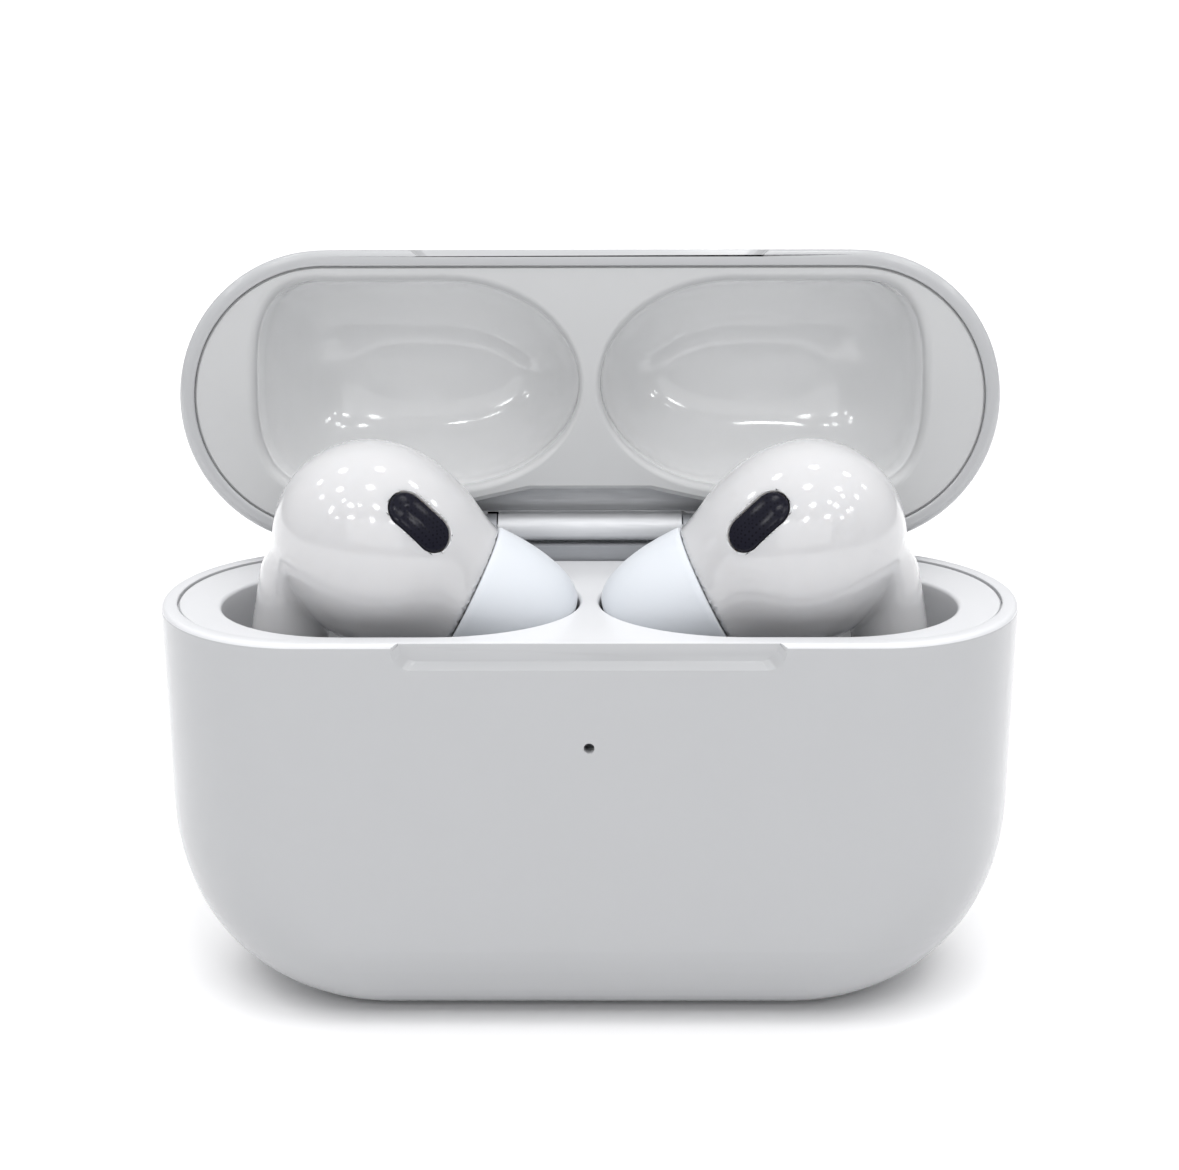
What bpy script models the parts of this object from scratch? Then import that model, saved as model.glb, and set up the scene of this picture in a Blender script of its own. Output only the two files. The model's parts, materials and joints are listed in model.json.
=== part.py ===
"""A wireless earbuds case with its two earbuds seated and its lid fully open.

Metres, +Z up, the front faces -Y. Sizes below are those of the closed case, written in millimetres times MM.
Shapes are laid out with the case's middle at x = y = 0, and every part is then moved by ROW_SHIFT_Y, which
puts the origin under the middle of the opened case. The lid is laid out closed and turned open on its hinge.
"""

import math

import bmesh
import bpy
from mathutils import Matrix, Vector

MM = 0.001

# The closed case
HALF_LENGTH = 30.3 * MM
HALF_DEPTH = 10.85 * MM
SEAM_Z = 29.0 * MM
SEAM_GAP = 0.2 * MM
TOP_Z = 45.2 * MM
WALL = 1.15 * MM
FLOOR = 1.4 * MM
GAP = 0.3 * MM
RIM_CHAMFER = 0.45 * MM
ROW_SHIFT_Y = -7.35 * MM

# Rounding of the case's lower and upper edges: how far it pulls in, over what height, and its power
END_ROUND = (13.0 * MM, 14.4 * MM, 2.15)
SIDE_ROUND = (6.35 * MM, 7.2 * MM, 2.2)
LID_END_ROUND = (13.0 * MM, 14.0 * MM, 2.15)
LID_SIDE_ROUND = (7.6 * MM, 8.6 * MM, 2.2)

# Hinge
HINGE_Y = 9.75 * MM
HINGE_Z = SEAM_Z + 2.1 * MM
OPEN_ANGLE = math.radians(98.2)
BARREL_RADIUS = 1.0 * MM
PIN_RADIUS = 0.45 * MM
PIN_CLEARANCE = 0.06 * MM
BARREL_HALF_LENGTH = 7.8 * MM
MIDDLE_KNUCKLE = 5.4 * MM
LEAF_THICKNESS = 0.65 * MM
LEAF_FRONT_Y = HINGE_Y - BARREL_RADIUS - 0.15 * MM
LEAF_FOOT_Z = 22.4 * MM

# Earbud wells, and the lid's domes above them
WELL_Y = -1.1 * MM
WELL_OUTER_X = 25.9 * MM
WELL_INNER_X = 0.7 * MM
WELL_HALF_DEPTH = 7.55 * MM
WELL_OUTER_REACH = 9.0 * MM
WELL_INNER_REACH = 10.1 * MM
WELL_FLOOR_Z = 21.0 * MM
WELL_WALL = 0.8 * MM
SLOT_X = 22.2 * MM
SLOT_HALF = (3.6 * MM, 3.4 * MM)
SLOT_BOTTOM_Z = 8.0 * MM
DOME_HEIGHT = 12.6 * MM
DOME_ROUND = (5.5 * MM, 8.0 * MM, 2.2)

# Earbud: the head is where an ellipsoid about the tip's axis and a steeper egg overlap
HEAD_X = 14.6 * MM
HEAD_Z = SEAM_Z + 4.3 * MM
HEAD_LONG = 8.3 * MM
HEAD_TALL = 7.4 * MM
HEAD_DEEP = 6.9 * MM
EGG_X = 12.6 * MM
EGG_Z = SEAM_Z + 1.75 * MM
EGG_HALF = (10.75 * MM, 7.6 * MM, 6.85 * MM)
EGG_SLOPE = math.radians(46.8)
EGG_TAPER = 0.0231 / MM
HOLLOW_HALF = (6.8 * MM, 5.9 * MM, 5.6 * MM)
HOLLOW_SLOPE = math.radians(36.0)
TIP_SLOPE = math.radians(26.9)
TIP_DROP = 0.67 * MM
TIP_START = 6.53 * MM
TIP_RIM = 0.45 * MM
TIP_FLATTEN = 0.95
STEM_HALF = (2.7 * MM, 3.0 * MM)
STEM_TOP_X = 21.0 * MM
STEM_LEAN = 1.7 / 19.0
STEM_WALL = 0.9 * MM
STEM_FOOT_Z = 10.0 * MM
CAP_TOP_Z = 11.1 * MM
NOZZLE_RADIUS = 1.85 * MM
VENT_X = 11.3 * MM
VENT_Y = -6.62 * MM
VENT_Z = 36.35 * MM
VENT_LENGTH = 5.4 * MM
VENT_WIDTH = 2.7 * MM
VENT_SLANT = math.radians(49.0)

# Front of the base
NOTCH_HALF_LENGTH = 12.9 * MM
NOTCH_HEIGHT = 1.8 * MM
LIGHT_Z = SEAM_Z - 7.4 * MM
LIGHT_RADIUS = 0.35 * MM

# Back of the base
BUTTON_Z = 13.0 * MM
BUTTON_RADIUS = 2.3 * MM
COIL_Z = 12.0 * MM
COIL_OUTER = 7.6 * MM
COIL_INNER = 4.4 * MM

# Charging inlet, in the middle of the underside
INLET_HALF_LENGTH = 4.45 * MM
INLET_HALF_DEPTH = 1.6 * MM
INLET_HEIGHT = 6.8 * MM

# Charging pins
PIN_SPACING = 2.4 * MM
CHARGE_PIN_RADIUS = 0.4 * MM
CARRIER_TOP_Z = SLOT_BOTTOM_Z - GAP

END_STEPS = 12
ROUND_STEPS = 20

MATERIALS = {
    "white_gloss": ((0.86, 0.87, 0.88), 0.18, 0.0),
    "white_satin": ((0.84, 0.85, 0.86), 0.32, 0.0),
    "silicone": ((0.83, 0.85, 0.87), 0.55, 0.0),
    "vent_black": ((0.015, 0.015, 0.02), 0.25, 0.0),
    "steel": ((0.62, 0.62, 0.63), 0.28, 1.0),
    "gold": ((0.83, 0.62, 0.28), 0.3, 1.0),
    "copper": ((0.72, 0.38, 0.2), 0.35, 1.0),
    "magnet": ((0.4, 0.4, 0.42), 0.4, 1.0),
    "board_green": ((0.03, 0.16, 0.08), 0.5, 0.0),
    "cell_wrap": ((0.1, 0.1, 0.11), 0.45, 0.0),
    "dark_plastic": ((0.05, 0.05, 0.055), 0.5, 0.0),
    "clear_plastic": ((0.8, 0.8, 0.8), 0.2, 0.0),
}


def clear_scene():
    """Removes what the new file came with."""
    for existing in list(bpy.data.objects):
        bpy.data.objects.remove(existing, do_unlink=True)


def get_material(name):
    """A plain material from the table above, made once."""
    if name in bpy.data.materials:
        return bpy.data.materials[name]
    colour, roughness, metallic = MATERIALS[name]
    material = bpy.data.materials.new(name)
    material.use_nodes = True
    shader = material.node_tree.nodes["Principled BSDF"]
    shader.inputs["Base Color"].default_value = (*colour, 1.0)
    shader.inputs["Roughness"].default_value = roughness
    shader.inputs["Metallic"].default_value = metallic
    return material


def add_pivot(name, location, turn=0.0):
    """An empty on a joint's axis, turned about X."""
    pivot = bpy.data.objects.new(name, None)
    pivot.location = Vector(location) + Vector((0.0, ROW_SHIFT_Y, 0.0))
    pivot.rotation_euler = (turn, 0.0, 0.0)
    bpy.context.scene.collection.objects.link(pivot)
    bpy.context.view_layer.update()
    return pivot


def add_object(name, shape, pivot=None):
    """An object made from a shape laid out in the closed case, on its pivot if it has one."""
    if pivot:
        rest = Vector(pivot.location) - Vector((0.0, ROW_SHIFT_Y, 0.0))
        bmesh.ops.translate(shape, verts=shape.verts, vec=-rest)
    mesh = bpy.data.meshes.new(name)
    shape.to_mesh(mesh)
    shape.free()
    item = bpy.data.objects.new(name, mesh)
    bpy.context.scene.collection.objects.link(item)
    if pivot:
        item.parent = pivot
    else:
        item.location = (0.0, ROW_SHIFT_Y, 0.0)
    return item


def add_part(name, shape, material, pivot=None):
    """A visible part: its node is named after it."""
    part = add_object(name, shape, pivot)
    part.data.materials.append(get_material(material))
    part.data.shade_smooth()
    part.data.set_sharp_from_angle(angle=math.radians(35.0))
    return part


def combine(part, operation, label, shape):
    """Adds a Boolean to a part, with a hidden helper laid out in the same way."""
    helper = add_object(f"{part.name}_{label}", shape, part.parent)
    helper.hide_render = True
    helper.display_type = "WIRE"
    modifier = part.modifiers.new(label, "BOOLEAN")
    modifier.operation = operation
    modifier.object = helper
    modifier.solver = "EXACT"


def cut(part, label, shape):
    """Cuts a shape out of a part."""
    combine(part, "DIFFERENCE", label, shape)


def join(part, label, shape):
    """Adds a shape to a part."""
    combine(part, "UNION", label, shape)


def pulled_in(height, rounding):
    """How far a rounded edge pulls in at a height above its end."""
    width, reach, power = rounding
    if height >= reach:
        return 0.0
    share = (reach - max(height, 0.0)) / reach
    return width * (1.0 - (1.0 - share**power) ** (1.0 / power))


def rounding_levels(rounding, count):
    """Heights at which a rounded edge is sampled, close together where it turns most."""
    reach, power = rounding[1], rounding[2]
    return [reach * (1.0 - math.cos(0.5 * math.pi * i / count) ** (2.0 / power)) for i in range(count + 1)]


def edge_levels(end_rounding, side_rounding):
    """Heights that sample the rounding of the ends and of the sides together."""
    kept = []
    for level in sorted(rounding_levels(end_rounding, 5) + rounding_levels(side_rounding, 4)):
        if not kept or level - kept[-1] > 0.25 * MM:
            kept.append(level)
    return kept


def shrunk(rounding, by):
    """The rounding of a wall's inner face."""
    return (rounding[0] - 0.6 * by, rounding[1] - by, rounding[2])


def oval_ring(low_x, high_x, low_reach, high_reach, half_depth, centre_y, z):
    """A level ring: two half ellipses joined by straight sides, or shortened until they meet."""
    fit = min(1.0, (high_x - low_x) / (low_reach + high_reach))
    low_reach, high_reach = low_reach * fit, high_reach * fit
    points = []
    for i in range(END_STEPS + 1):
        angle = math.pi * (i / END_STEPS - 0.5)
        across = high_x - high_reach * (1.0 - math.cos(angle))
        points.append(Vector((across, centre_y + half_depth * math.sin(angle), z)))
    for i in range(END_STEPS + 1):
        angle = math.pi * (i / END_STEPS + 0.5)
        across = low_x + low_reach * (1.0 + math.cos(angle))
        points.append(Vector((across, centre_y + half_depth * math.sin(angle), z)))
    return points


def stadium_ring(half_length, half_depth, z, centre_x=0.0, centre_y=0.0):
    """A level ring with semicircular ends."""
    return oval_ring(
        centre_x - half_length, centre_x + half_length, half_depth, half_depth, half_depth, centre_y, z
    )


def ellipse_ring(half_x, half_y, z, centre_x, centre_y):
    """A level ellipse."""
    return [
        Vector(
            (
                centre_x + half_x * math.cos(2.0 * math.pi * i / ROUND_STEPS),
                centre_y + half_y * math.sin(2.0 * math.pi * i / ROUND_STEPS),
                z,
            )
        )
        for i in range(ROUND_STEPS)
    ]


def loft(rings):
    """A closed body through rings of equal count, with flat ends."""
    shape = bmesh.new()
    loops = [[shape.verts.new(point) for point in ring] for ring in rings]
    for lower, upper in zip(loops, loops[1:]):
        for i in range(len(lower)):
            j = (i + 1) % len(lower)
            shape.faces.new((lower[i], lower[j], upper[j], upper[i]))
    shape.faces.new(reversed(loops[0]))
    shape.faces.new(loops[-1])
    bmesh.ops.remove_doubles(shape, verts=shape.verts, dist=0.0001 * MM)
    bmesh.ops.recalc_face_normals(shape, faces=shape.faces)
    return shape


def mirrored(shape):
    """The same shape on the other side of the case."""
    bmesh.ops.scale(shape, verts=shape.verts, vec=(-1.0, 1.0, 1.0))
    bmesh.ops.recalc_face_normals(shape, faces=shape.faces)
    return shape


def on_side(shape, side):
    """Shapes are laid out on the right: side is 1 there and -1 on the left."""
    return shape if side > 0 else mirrored(shape)


def box(low, high):
    """A block between two corners."""
    shape = bmesh.new()
    bmesh.ops.create_cube(shape, size=1.0)
    low, high = Vector(low), Vector(high)
    size = high - low
    bmesh.ops.scale(shape, verts=shape.verts, vec=size)
    bmesh.ops.translate(shape, verts=shape.verts, vec=(low + high) / 2.0)
    return shape


def circle(origin, axis, along, radius, steps):
    """Points round an axis, at a distance along it."""
    axis = Vector(axis).normalized()
    across = axis.orthogonal().normalized()
    other = axis.cross(across)
    centre = Vector(origin) + axis * along
    points = []
    for i in range(steps):
        angle = 2.0 * math.pi * i / steps
        points.append(centre + (across * math.cos(angle) + other * math.sin(angle)) * radius)
    return points


def turned(profile, origin, axis, steps=ROUND_STEPS):
    """A closed outline of (distance along the axis, radius) turned about the axis."""
    shape = bmesh.new()
    loops = []
    for along, radius in profile:
        loops.append([shape.verts.new(point) for point in circle(origin, axis, along, radius, steps)])
    for k, lower in enumerate(loops):
        upper = loops[(k + 1) % len(loops)]
        for i in range(steps):
            j = (i + 1) % steps
            shape.faces.new((lower[i], lower[j], upper[j], upper[i]))
    bmesh.ops.recalc_face_normals(shape, faces=shape.faces)
    return shape


def rod(origin, axis, start, end, radius, steps=ROUND_STEPS):
    """A round bar between two distances along an axis."""
    return loft([circle(origin, axis, along, radius, steps) for along in (start, end)])


def tube(origin, axis, start, end, outer, inner, steps=ROUND_STEPS):
    """A round sleeve, open at both ends."""
    return turned([(start, inner), (end, inner), (end, outer), (start, outer)], origin, axis, steps)


def extruded(outline, low_x, high_x):
    """An outline in the Y-Z plane drawn out along X."""
    return loft([[Vector((x, y, z)) for y, z in outline] for x in (low_x, high_x)])


# The base


def base_ring(z, offset=0.0, floor=0.0):
    """The base's outline at a height, pulled in by offset for the inner face."""
    length = HALF_LENGTH - offset - pulled_in(z - floor, shrunk(END_ROUND, offset))
    depth = HALF_DEPTH - offset - pulled_in(z - floor, shrunk(SIDE_ROUND, offset))
    return stadium_ring(length, depth, z)


def make_body_shell():
    """The outer shell of the base, with its inlet, light, button and thumb notch."""
    levels = edge_levels(END_ROUND, SIDE_ROUND)
    rings = [base_ring(z) for z in levels]
    rings.append(stadium_ring(HALF_LENGTH, HALF_DEPTH, SEAM_Z - RIM_CHAMFER))
    rings.append(stadium_ring(HALF_LENGTH - RIM_CHAMFER / 2, HALF_DEPTH - RIM_CHAMFER / 2, SEAM_Z))
    rings.append(stadium_ring(HALF_LENGTH - WALL, HALF_DEPTH - WALL, SEAM_Z))
    for z in reversed(levels):
        rings.append(base_ring(z * 0.9 + FLOOR, WALL, FLOOR))
    part = add_part("body_shell", loft(rings), "white_gloss")
    inlet = [
        stadium_ring(INLET_HALF_LENGTH + GAP, INLET_HALF_DEPTH + GAP, z) for z in (-FLOOR, 2.0 * FLOOR)
    ]
    cut(part, "inlet_hole", loft(inlet))
    light = rod((0.0, 0.0, LIGHT_Z), (0, -1, 0), HALF_DEPTH - 2.0 * WALL, HALF_DEPTH + WALL, LIGHT_RADIUS, 12)
    cut(part, "light_hole", light)
    button = rod(
        (0.0, 0.0, BUTTON_Z), (0, 1, 0), HALF_DEPTH - 2.0 * WALL, HALF_DEPTH + WALL, BUTTON_RADIUS + GAP, 24
    )
    cut(part, "button_hole", button)
    cut(part, "thumb_notch", thumb_notch())
    return part


def thumb_notch():
    """A shallow bevel along the top of the front, where a thumb lifts the lid."""
    depth = 0.4 * MM
    front = -HALF_DEPTH
    outline = [
        (front - depth, SEAM_Z - NOTCH_HEIGHT),
        (front, SEAM_Z - NOTCH_HEIGHT),
        (front + depth, SEAM_Z - NOTCH_HEIGHT + depth),
        (front + depth, SEAM_Z + depth),
        (front - depth, SEAM_Z + depth),
    ]
    return extruded(outline, -NOTCH_HALF_LENGTH, NOTCH_HALF_LENGTH)


def well_ring(z, pull, grow=0.0):
    """The outline of the right well at a height, pulled in at its inner end by pull."""
    depth = WELL_HALF_DEPTH - 0.7 * pull + grow
    return oval_ring(
        WELL_INNER_X + pull - grow,
        WELL_OUTER_X - 0.3 * pull + grow,
        WELL_INNER_REACH - 0.5 * pull + grow,
        WELL_OUTER_REACH - 0.5 * pull + grow,
        depth,
        WELL_Y,
        z,
    )


def well_shape(grow, top_z):
    """The bowl that takes an earbud's head and tip; grown by the wall for its outside."""
    sections = [(WELL_FLOOR_Z, 4.2 * MM), (22.2 * MM, 2.2 * MM), (24.2 * MM, 0.8 * MM), (27.0 * MM, 0.1 * MM)]
    rings = [well_ring(z - grow, pull, grow) for z, pull in sections]
    rings.append(well_ring(top_z, 0.0, grow))
    return loft(rings)


def slot_shape(grow, bottom_z, top_z):
    """The deep slot for the earbud's stem, straight up so that the leaning stem lifts out."""
    return loft(
        [
            ellipse_ring(SLOT_HALF[0] + grow, SLOT_HALF[1] + grow, z, SLOT_X, WELL_Y)
            for z in (bottom_z, top_z)
        ]
    )


def make_tray():
    """The inner moulding that closes the base and holds the earbuds."""
    plate_top = SEAM_Z - 0.15 * MM
    plate_bottom = SEAM_Z - 1.6 * MM
    inset = WALL + GAP
    plate = loft(
        [stadium_ring(HALF_LENGTH - inset, HALF_DEPTH - inset, z) for z in (plate_bottom, plate_top)]
    )
    part = add_part("earbud_tray", plate, "white_gloss")
    for side, name in ((1, "right"), (-1, "left")):
        cup = well_shape(WELL_WALL, plate_bottom + 0.5 * MM)
        sleeve = slot_shape(WELL_WALL, SLOT_BOTTOM_Z, plate_bottom + 0.3 * MM)
        join(part, f"{name}_cup", on_side(cup, side))
        join(part, f"{name}_sleeve", on_side(sleeve, side))
    for side, name in ((1, "right"), (-1, "left")):
        cut(part, f"{name}_well", on_side(well_shape(0.0, SEAM_Z + GAP), side))
        cut(part, f"{name}_slot", on_side(slot_shape(0.0, SLOT_BOTTOM_Z - GAP, SEAM_Z + 2.0 * GAP), side))
    leaf_slot = box(
        (-BARREL_HALF_LENGTH - GAP, LEAF_FRONT_Y - GAP, plate_bottom - GAP),
        (BARREL_HALF_LENGTH + GAP, HALF_DEPTH, SEAM_Z + GAP),
    )
    cut(part, "hinge_slot", leaf_slot)
    return part


def make_inlet():
    """The metal shell of the charging inlet and the tongue inside it."""
    wall = 0.3 * MM
    rings = [
        stadium_ring(INLET_HALF_LENGTH - wall, INLET_HALF_DEPTH - wall, INLET_HEIGHT - wall),
        stadium_ring(INLET_HALF_LENGTH - wall, INLET_HALF_DEPTH - wall, 0.1 * MM),
        stadium_ring(INLET_HALF_LENGTH, INLET_HALF_DEPTH, 0.1 * MM),
        stadium_ring(INLET_HALF_LENGTH, INLET_HALF_DEPTH, INLET_HEIGHT),
    ]
    add_part("inlet_shell", loft(rings), "steel")
    tongue = box(
        (-3.35 * MM, -0.35 * MM, 1.3 * MM), (3.35 * MM, 0.35 * MM, INLET_HEIGHT - wall - GAP)
    )
    add_part("inlet_tongue", tongue, "dark_plastic")


def make_power_and_board():
    """The battery, the main board behind it, and the switch for the button."""
    cell = box((-15.0 * MM, -8.4 * MM, 7.6 * MM), (15.0 * MM, 4.4 * MM, 17.2 * MM))
    bmesh.ops.bevel(cell, geom=list(cell.edges), offset=0.8 * MM, segments=2, affect="EDGES")
    add_part("battery_cell", cell, "cell_wrap")
    board = box((-14.0 * MM, 5.2 * MM, 6.0 * MM), (14.0 * MM, 6.0 * MM, 17.6 * MM))
    add_part("main_board", board, "board_green")
    switch_half = 1.6 * MM
    switch = box(
        (-switch_half, 6.3 * MM, BUTTON_Z - switch_half), (switch_half, 8.4 * MM, BUTTON_Z + switch_half)
    )
    add_part("button_switch", switch, "dark_plastic")


def make_coil():
    """The ring of the wireless charging coil, against the back wall, and its ferrite sheet."""
    centre = (0.0, 0.0, COIL_Z)
    ring = tube(centre, (0, 1, 0), 8.1 * MM, 8.6 * MM, COIL_OUTER, COIL_INNER, 24)
    add_part("charging_coil", ring, "copper")
    sheet = tube(centre, (0, 1, 0), 7.5 * MM, 7.8 * MM, COIL_OUTER + GAP, COIL_INNER - GAP, 24)
    add_part("coil_ferrite", sheet, "dark_plastic")


def make_light_guide():
    """The short clear rod behind the status light's hole."""
    guide = rod((0.0, 0.0, LIGHT_Z), (0, -1, 0), 7.9 * MM, HALF_DEPTH - WALL - GAP, 0.8 * MM, 16)
    add_part("status_light_guide", guide, "clear_plastic")


def make_button():
    """The set-up button: a flush cap with a collar behind the wall."""
    pivot = add_pivot("setup_button_axis", (0.0, HALF_DEPTH, BUTTON_Z))
    face = HALF_DEPTH - 0.1 * MM
    collar = HALF_DEPTH - WALL - GAP
    collar_back = collar - 0.5 * MM
    collar_radius = BUTTON_RADIUS + 0.6 * MM
    middle = (0.0, 0.0, BUTTON_Z)
    rings = [circle(middle, (0, 1, 0), along, collar_radius, ROUND_STEPS) for along in (collar_back, collar)]
    rings += [circle(middle, (0, 1, 0), along, BUTTON_RADIUS, ROUND_STEPS) for along in (collar, face)]
    add_part("setup_button", loft(rings), "white_gloss", pivot)


def make_base_magnets():
    """The magnet that holds the lid shut, and one under each well that holds its earbud."""
    low = (-3.4 * MM, -9.35 * MM, 23.0 * MM)
    high = (3.4 * MM, -7.9 * MM, 27.0 * MM)
    add_part("base_catch_magnet", box(low, high), "magnet")
    for side, name in ((1, "right"), (-1, "left")):
        disc = rod((side * 9.5 * MM, WELL_Y, 0.0), (0, 0, 1), 17.6 * MM, 19.7 * MM, 2.6 * MM)
        add_part(f"{name}_retention_magnet", disc, "magnet")


def make_charging_pins(side, name):
    """Two sprung pins in their carrier, under the slot."""
    low_z = CARRIER_TOP_Z - 1.5 * MM
    carrier = loft(
        [ellipse_ring(SLOT_HALF[0], SLOT_HALF[1], z, SLOT_X, WELL_Y) for z in (low_z, CARRIER_TOP_Z)]
    )
    part = add_part(f"{name}_pin_carrier", on_side(carrier, side), "dark_plastic")
    foot_x = stem_x(STEM_FOOT_Z)
    for label, shift in (("inner", -PIN_SPACING / 2), ("outer", PIN_SPACING / 2)):
        centre = Vector((side * (foot_x + shift), WELL_Y, 0.0))
        bore = rod(centre, (0, 0, 1), low_z - GAP, CARRIER_TOP_Z + GAP, CHARGE_PIN_RADIUS + 0.08 * MM, 12)
        cut(part, f"{label}_bore", bore)
        pivot = add_pivot(f"{name}_{label}_charge_pin_axis", centre)
        pin = rod(centre, (0, 0, 1), low_z + 0.2 * MM, STEM_FOOT_Z - GAP, CHARGE_PIN_RADIUS, 12)
        add_part(f"{name}_{label}_charge_pin", pin, "gold", pivot)


# The hinge


def hinge_leaf(name, plate, arm_heights, arm_depths, spans, pivot=None):
    """A leaf of the hinge: a plate, with an arm and a knuckle for each span along the pin."""
    part = add_part(name, box(*plate), "steel", pivot)
    axis_point = (0.0, HINGE_Y, HINGE_Z)
    for number, (low_x, high_x) in enumerate(spans):
        arm = box((low_x, arm_depths[0], arm_heights[0]), (high_x, arm_depths[1], arm_heights[1]))
        join(part, f"arm_{number}", arm)
        join(part, f"knuckle_{number}", rod(axis_point, (1, 0, 0), low_x, high_x, BARREL_RADIUS))
    reach = BARREL_HALF_LENGTH + GAP
    cut(part, "bore", rod(axis_point, (1, 0, 0), -reach, reach, PIN_RADIUS + PIN_CLEARANCE))


def make_hinge_base():
    """The leaf fixed to the base, with the two outer knuckles, and the pin."""
    back_y = LEAF_FRONT_Y + LEAF_THICKNESS
    high = (BARREL_HALF_LENGTH, back_y, SEAM_Z + 0.5 * MM)
    plate = ((-BARREL_HALF_LENGTH, LEAF_FRONT_Y, LEAF_FOOT_Z), high)
    start = MIDDLE_KNUCKLE + GAP
    spans = ((-BARREL_HALF_LENGTH, -start), (start, BARREL_HALF_LENGTH))
    arm_depths = (LEAF_FRONT_Y + 0.1 * MM, back_y - 0.05 * MM)
    hinge_leaf("hinge_body_leaf", plate, (SEAM_Z - 1.0 * MM, HINGE_Z), arm_depths, spans)
    pin_end = BARREL_HALF_LENGTH - 0.2 * MM
    pin = rod((0.0, HINGE_Y, HINGE_Z), (1, 0, 0), -pin_end, pin_end, PIN_RADIUS)
    add_part("hinge_pin", pin, "steel")


def make_hinge_lid(pivot):
    """The leaf fixed to the lid, with the middle knuckle."""
    front_y = LEAF_FRONT_Y + 0.1 * MM
    back_y = front_y + LEAF_THICKNESS - 0.1 * MM
    clear_z = HINGE_Z + BARREL_RADIUS + GAP
    plate = ((-BARREL_HALF_LENGTH, front_y, clear_z), (BARREL_HALF_LENGTH, back_y, HINGE_Z + 6.6 * MM))
    arm_depths = (front_y + 0.05 * MM, back_y - 0.05 * MM)
    spans = ((-MIDDLE_KNUCKLE, MIDDLE_KNUCKLE),)
    hinge_leaf("hinge_lid_leaf", plate, (HINGE_Z, clear_z + 1.0 * MM), arm_depths, spans, pivot)


# The lid, laid out closed


def lid_ring(below_top, offset=0.0):
    """The lid's outline at a depth below the top of that face."""
    length = HALF_LENGTH - offset - pulled_in(below_top, shrunk(LID_END_ROUND, offset))
    depth = HALF_DEPTH - offset - pulled_in(below_top, shrunk(LID_SIDE_ROUND, offset))
    return stadium_ring(length, depth, TOP_Z - offset - below_top)


def make_lid_shell(pivot):
    """The outer shell of the lid, with the notch for the hinge barrel."""
    rim_z = SEAM_Z + SEAM_GAP
    levels = edge_levels(LID_END_ROUND, LID_SIDE_ROUND)
    rings = [lid_ring(below) for below in levels]
    rings.append(stadium_ring(HALF_LENGTH, HALF_DEPTH, rim_z + RIM_CHAMFER))
    rings.append(stadium_ring(HALF_LENGTH - RIM_CHAMFER, HALF_DEPTH - RIM_CHAMFER, rim_z))
    rings.append(stadium_ring(HALF_LENGTH - WALL, HALF_DEPTH - WALL, rim_z))
    for below in reversed(levels):
        rings.append(lid_ring(below * 0.94, WALL))
    part = add_part("lid_shell", loft(rings), "white_gloss", pivot)
    barrel = box(
        (-BARREL_HALF_LENGTH - GAP, HINGE_Y - 2.0 * BARREL_RADIUS, rim_z - GAP),
        (BARREL_HALF_LENGTH + GAP, HALF_DEPTH + GAP, HINGE_Z + BARREL_RADIUS + GAP),
    )
    cut(part, "barrel_notch", barrel)
    return part


def dome_ring(above_rim, grow=0.0):
    """The outline of the right dome at a height above the lid's rim."""
    pull = pulled_in(DOME_HEIGHT - above_rim, DOME_ROUND)
    return oval_ring(
        WELL_INNER_X + 0.05 * MM + pull - grow,
        WELL_OUTER_X - 1.25 * pull + grow,
        WELL_INNER_REACH - 0.5 * pull + grow,
        WELL_OUTER_REACH - 0.5 * pull + grow,
        WELL_HALF_DEPTH - pull + grow,
        WELL_Y,
        SEAM_Z + SEAM_GAP + above_rim + grow,
    )


def dome_shape(grow, start):
    """A dome over a well; grown by the wall for its outside."""
    heights = [start, 4.6 * MM, 7.2 * MM, 9.2 * MM, 10.9 * MM, 12.0 * MM, DOME_HEIGHT]
    return loft([dome_ring(height, grow) for height in heights])


def make_lid_liner(pivot):
    """The inner moulding of the lid: a flat rim, two domes and an arch for the hinge."""
    rim_z = SEAM_Z + SEAM_GAP
    inset = WALL + GAP
    plate = loft(
        [
            stadium_ring(HALF_LENGTH - inset, HALF_DEPTH - inset, z)
            for z in (rim_z + 0.15 * MM, rim_z + 1.15 * MM)
        ]
    )
    part = add_part("lid_liner", plate, "white_satin", pivot)
    for side, name in ((1, "right"), (-1, "left")):
        join(part, f"{name}_dome", on_side(dome_shape(WELL_WALL, -0.2 * MM), side))
    for side, name in ((1, "right"), (-1, "left")):
        cut(part, f"{name}_hollow", on_side(dome_shape(0.0, -1.0 * MM), side))
    cut(part, "hinge_arch", hinge_arch())
    return part


def hinge_arch():
    """The opening in the liner's rim that the hinge shows through, narrower away from the hinge."""
    front_y = HALF_DEPTH - 4.2 * MM
    corners = [
        (-BARREL_HALF_LENGTH - 1.0 * MM, HALF_DEPTH),
        (-BARREL_HALF_LENGTH - 1.0 * MM, HALF_DEPTH - 1.6 * MM),
        (-4.3 * MM, front_y),
        (4.3 * MM, front_y),
        (BARREL_HALF_LENGTH + 1.0 * MM, HALF_DEPTH - 1.6 * MM),
        (BARREL_HALF_LENGTH + 1.0 * MM, HALF_DEPTH),
    ]
    return loft([[Vector((x, y, z)) for x, y in corners] for z in (SEAM_Z - GAP, SEAM_Z + 12.0 * MM)])


def make_lid_magnet(pivot):
    """The magnet that meets the base's catch magnet."""
    low = (-3.4 * MM, -9.35 * MM, SEAM_Z + 1.8 * MM)
    high = (3.4 * MM, -7.9 * MM, SEAM_Z + 5.8 * MM)
    add_part("lid_catch_magnet", box(low, high), "magnet", pivot)


# The earbuds, laid out on the right


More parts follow.
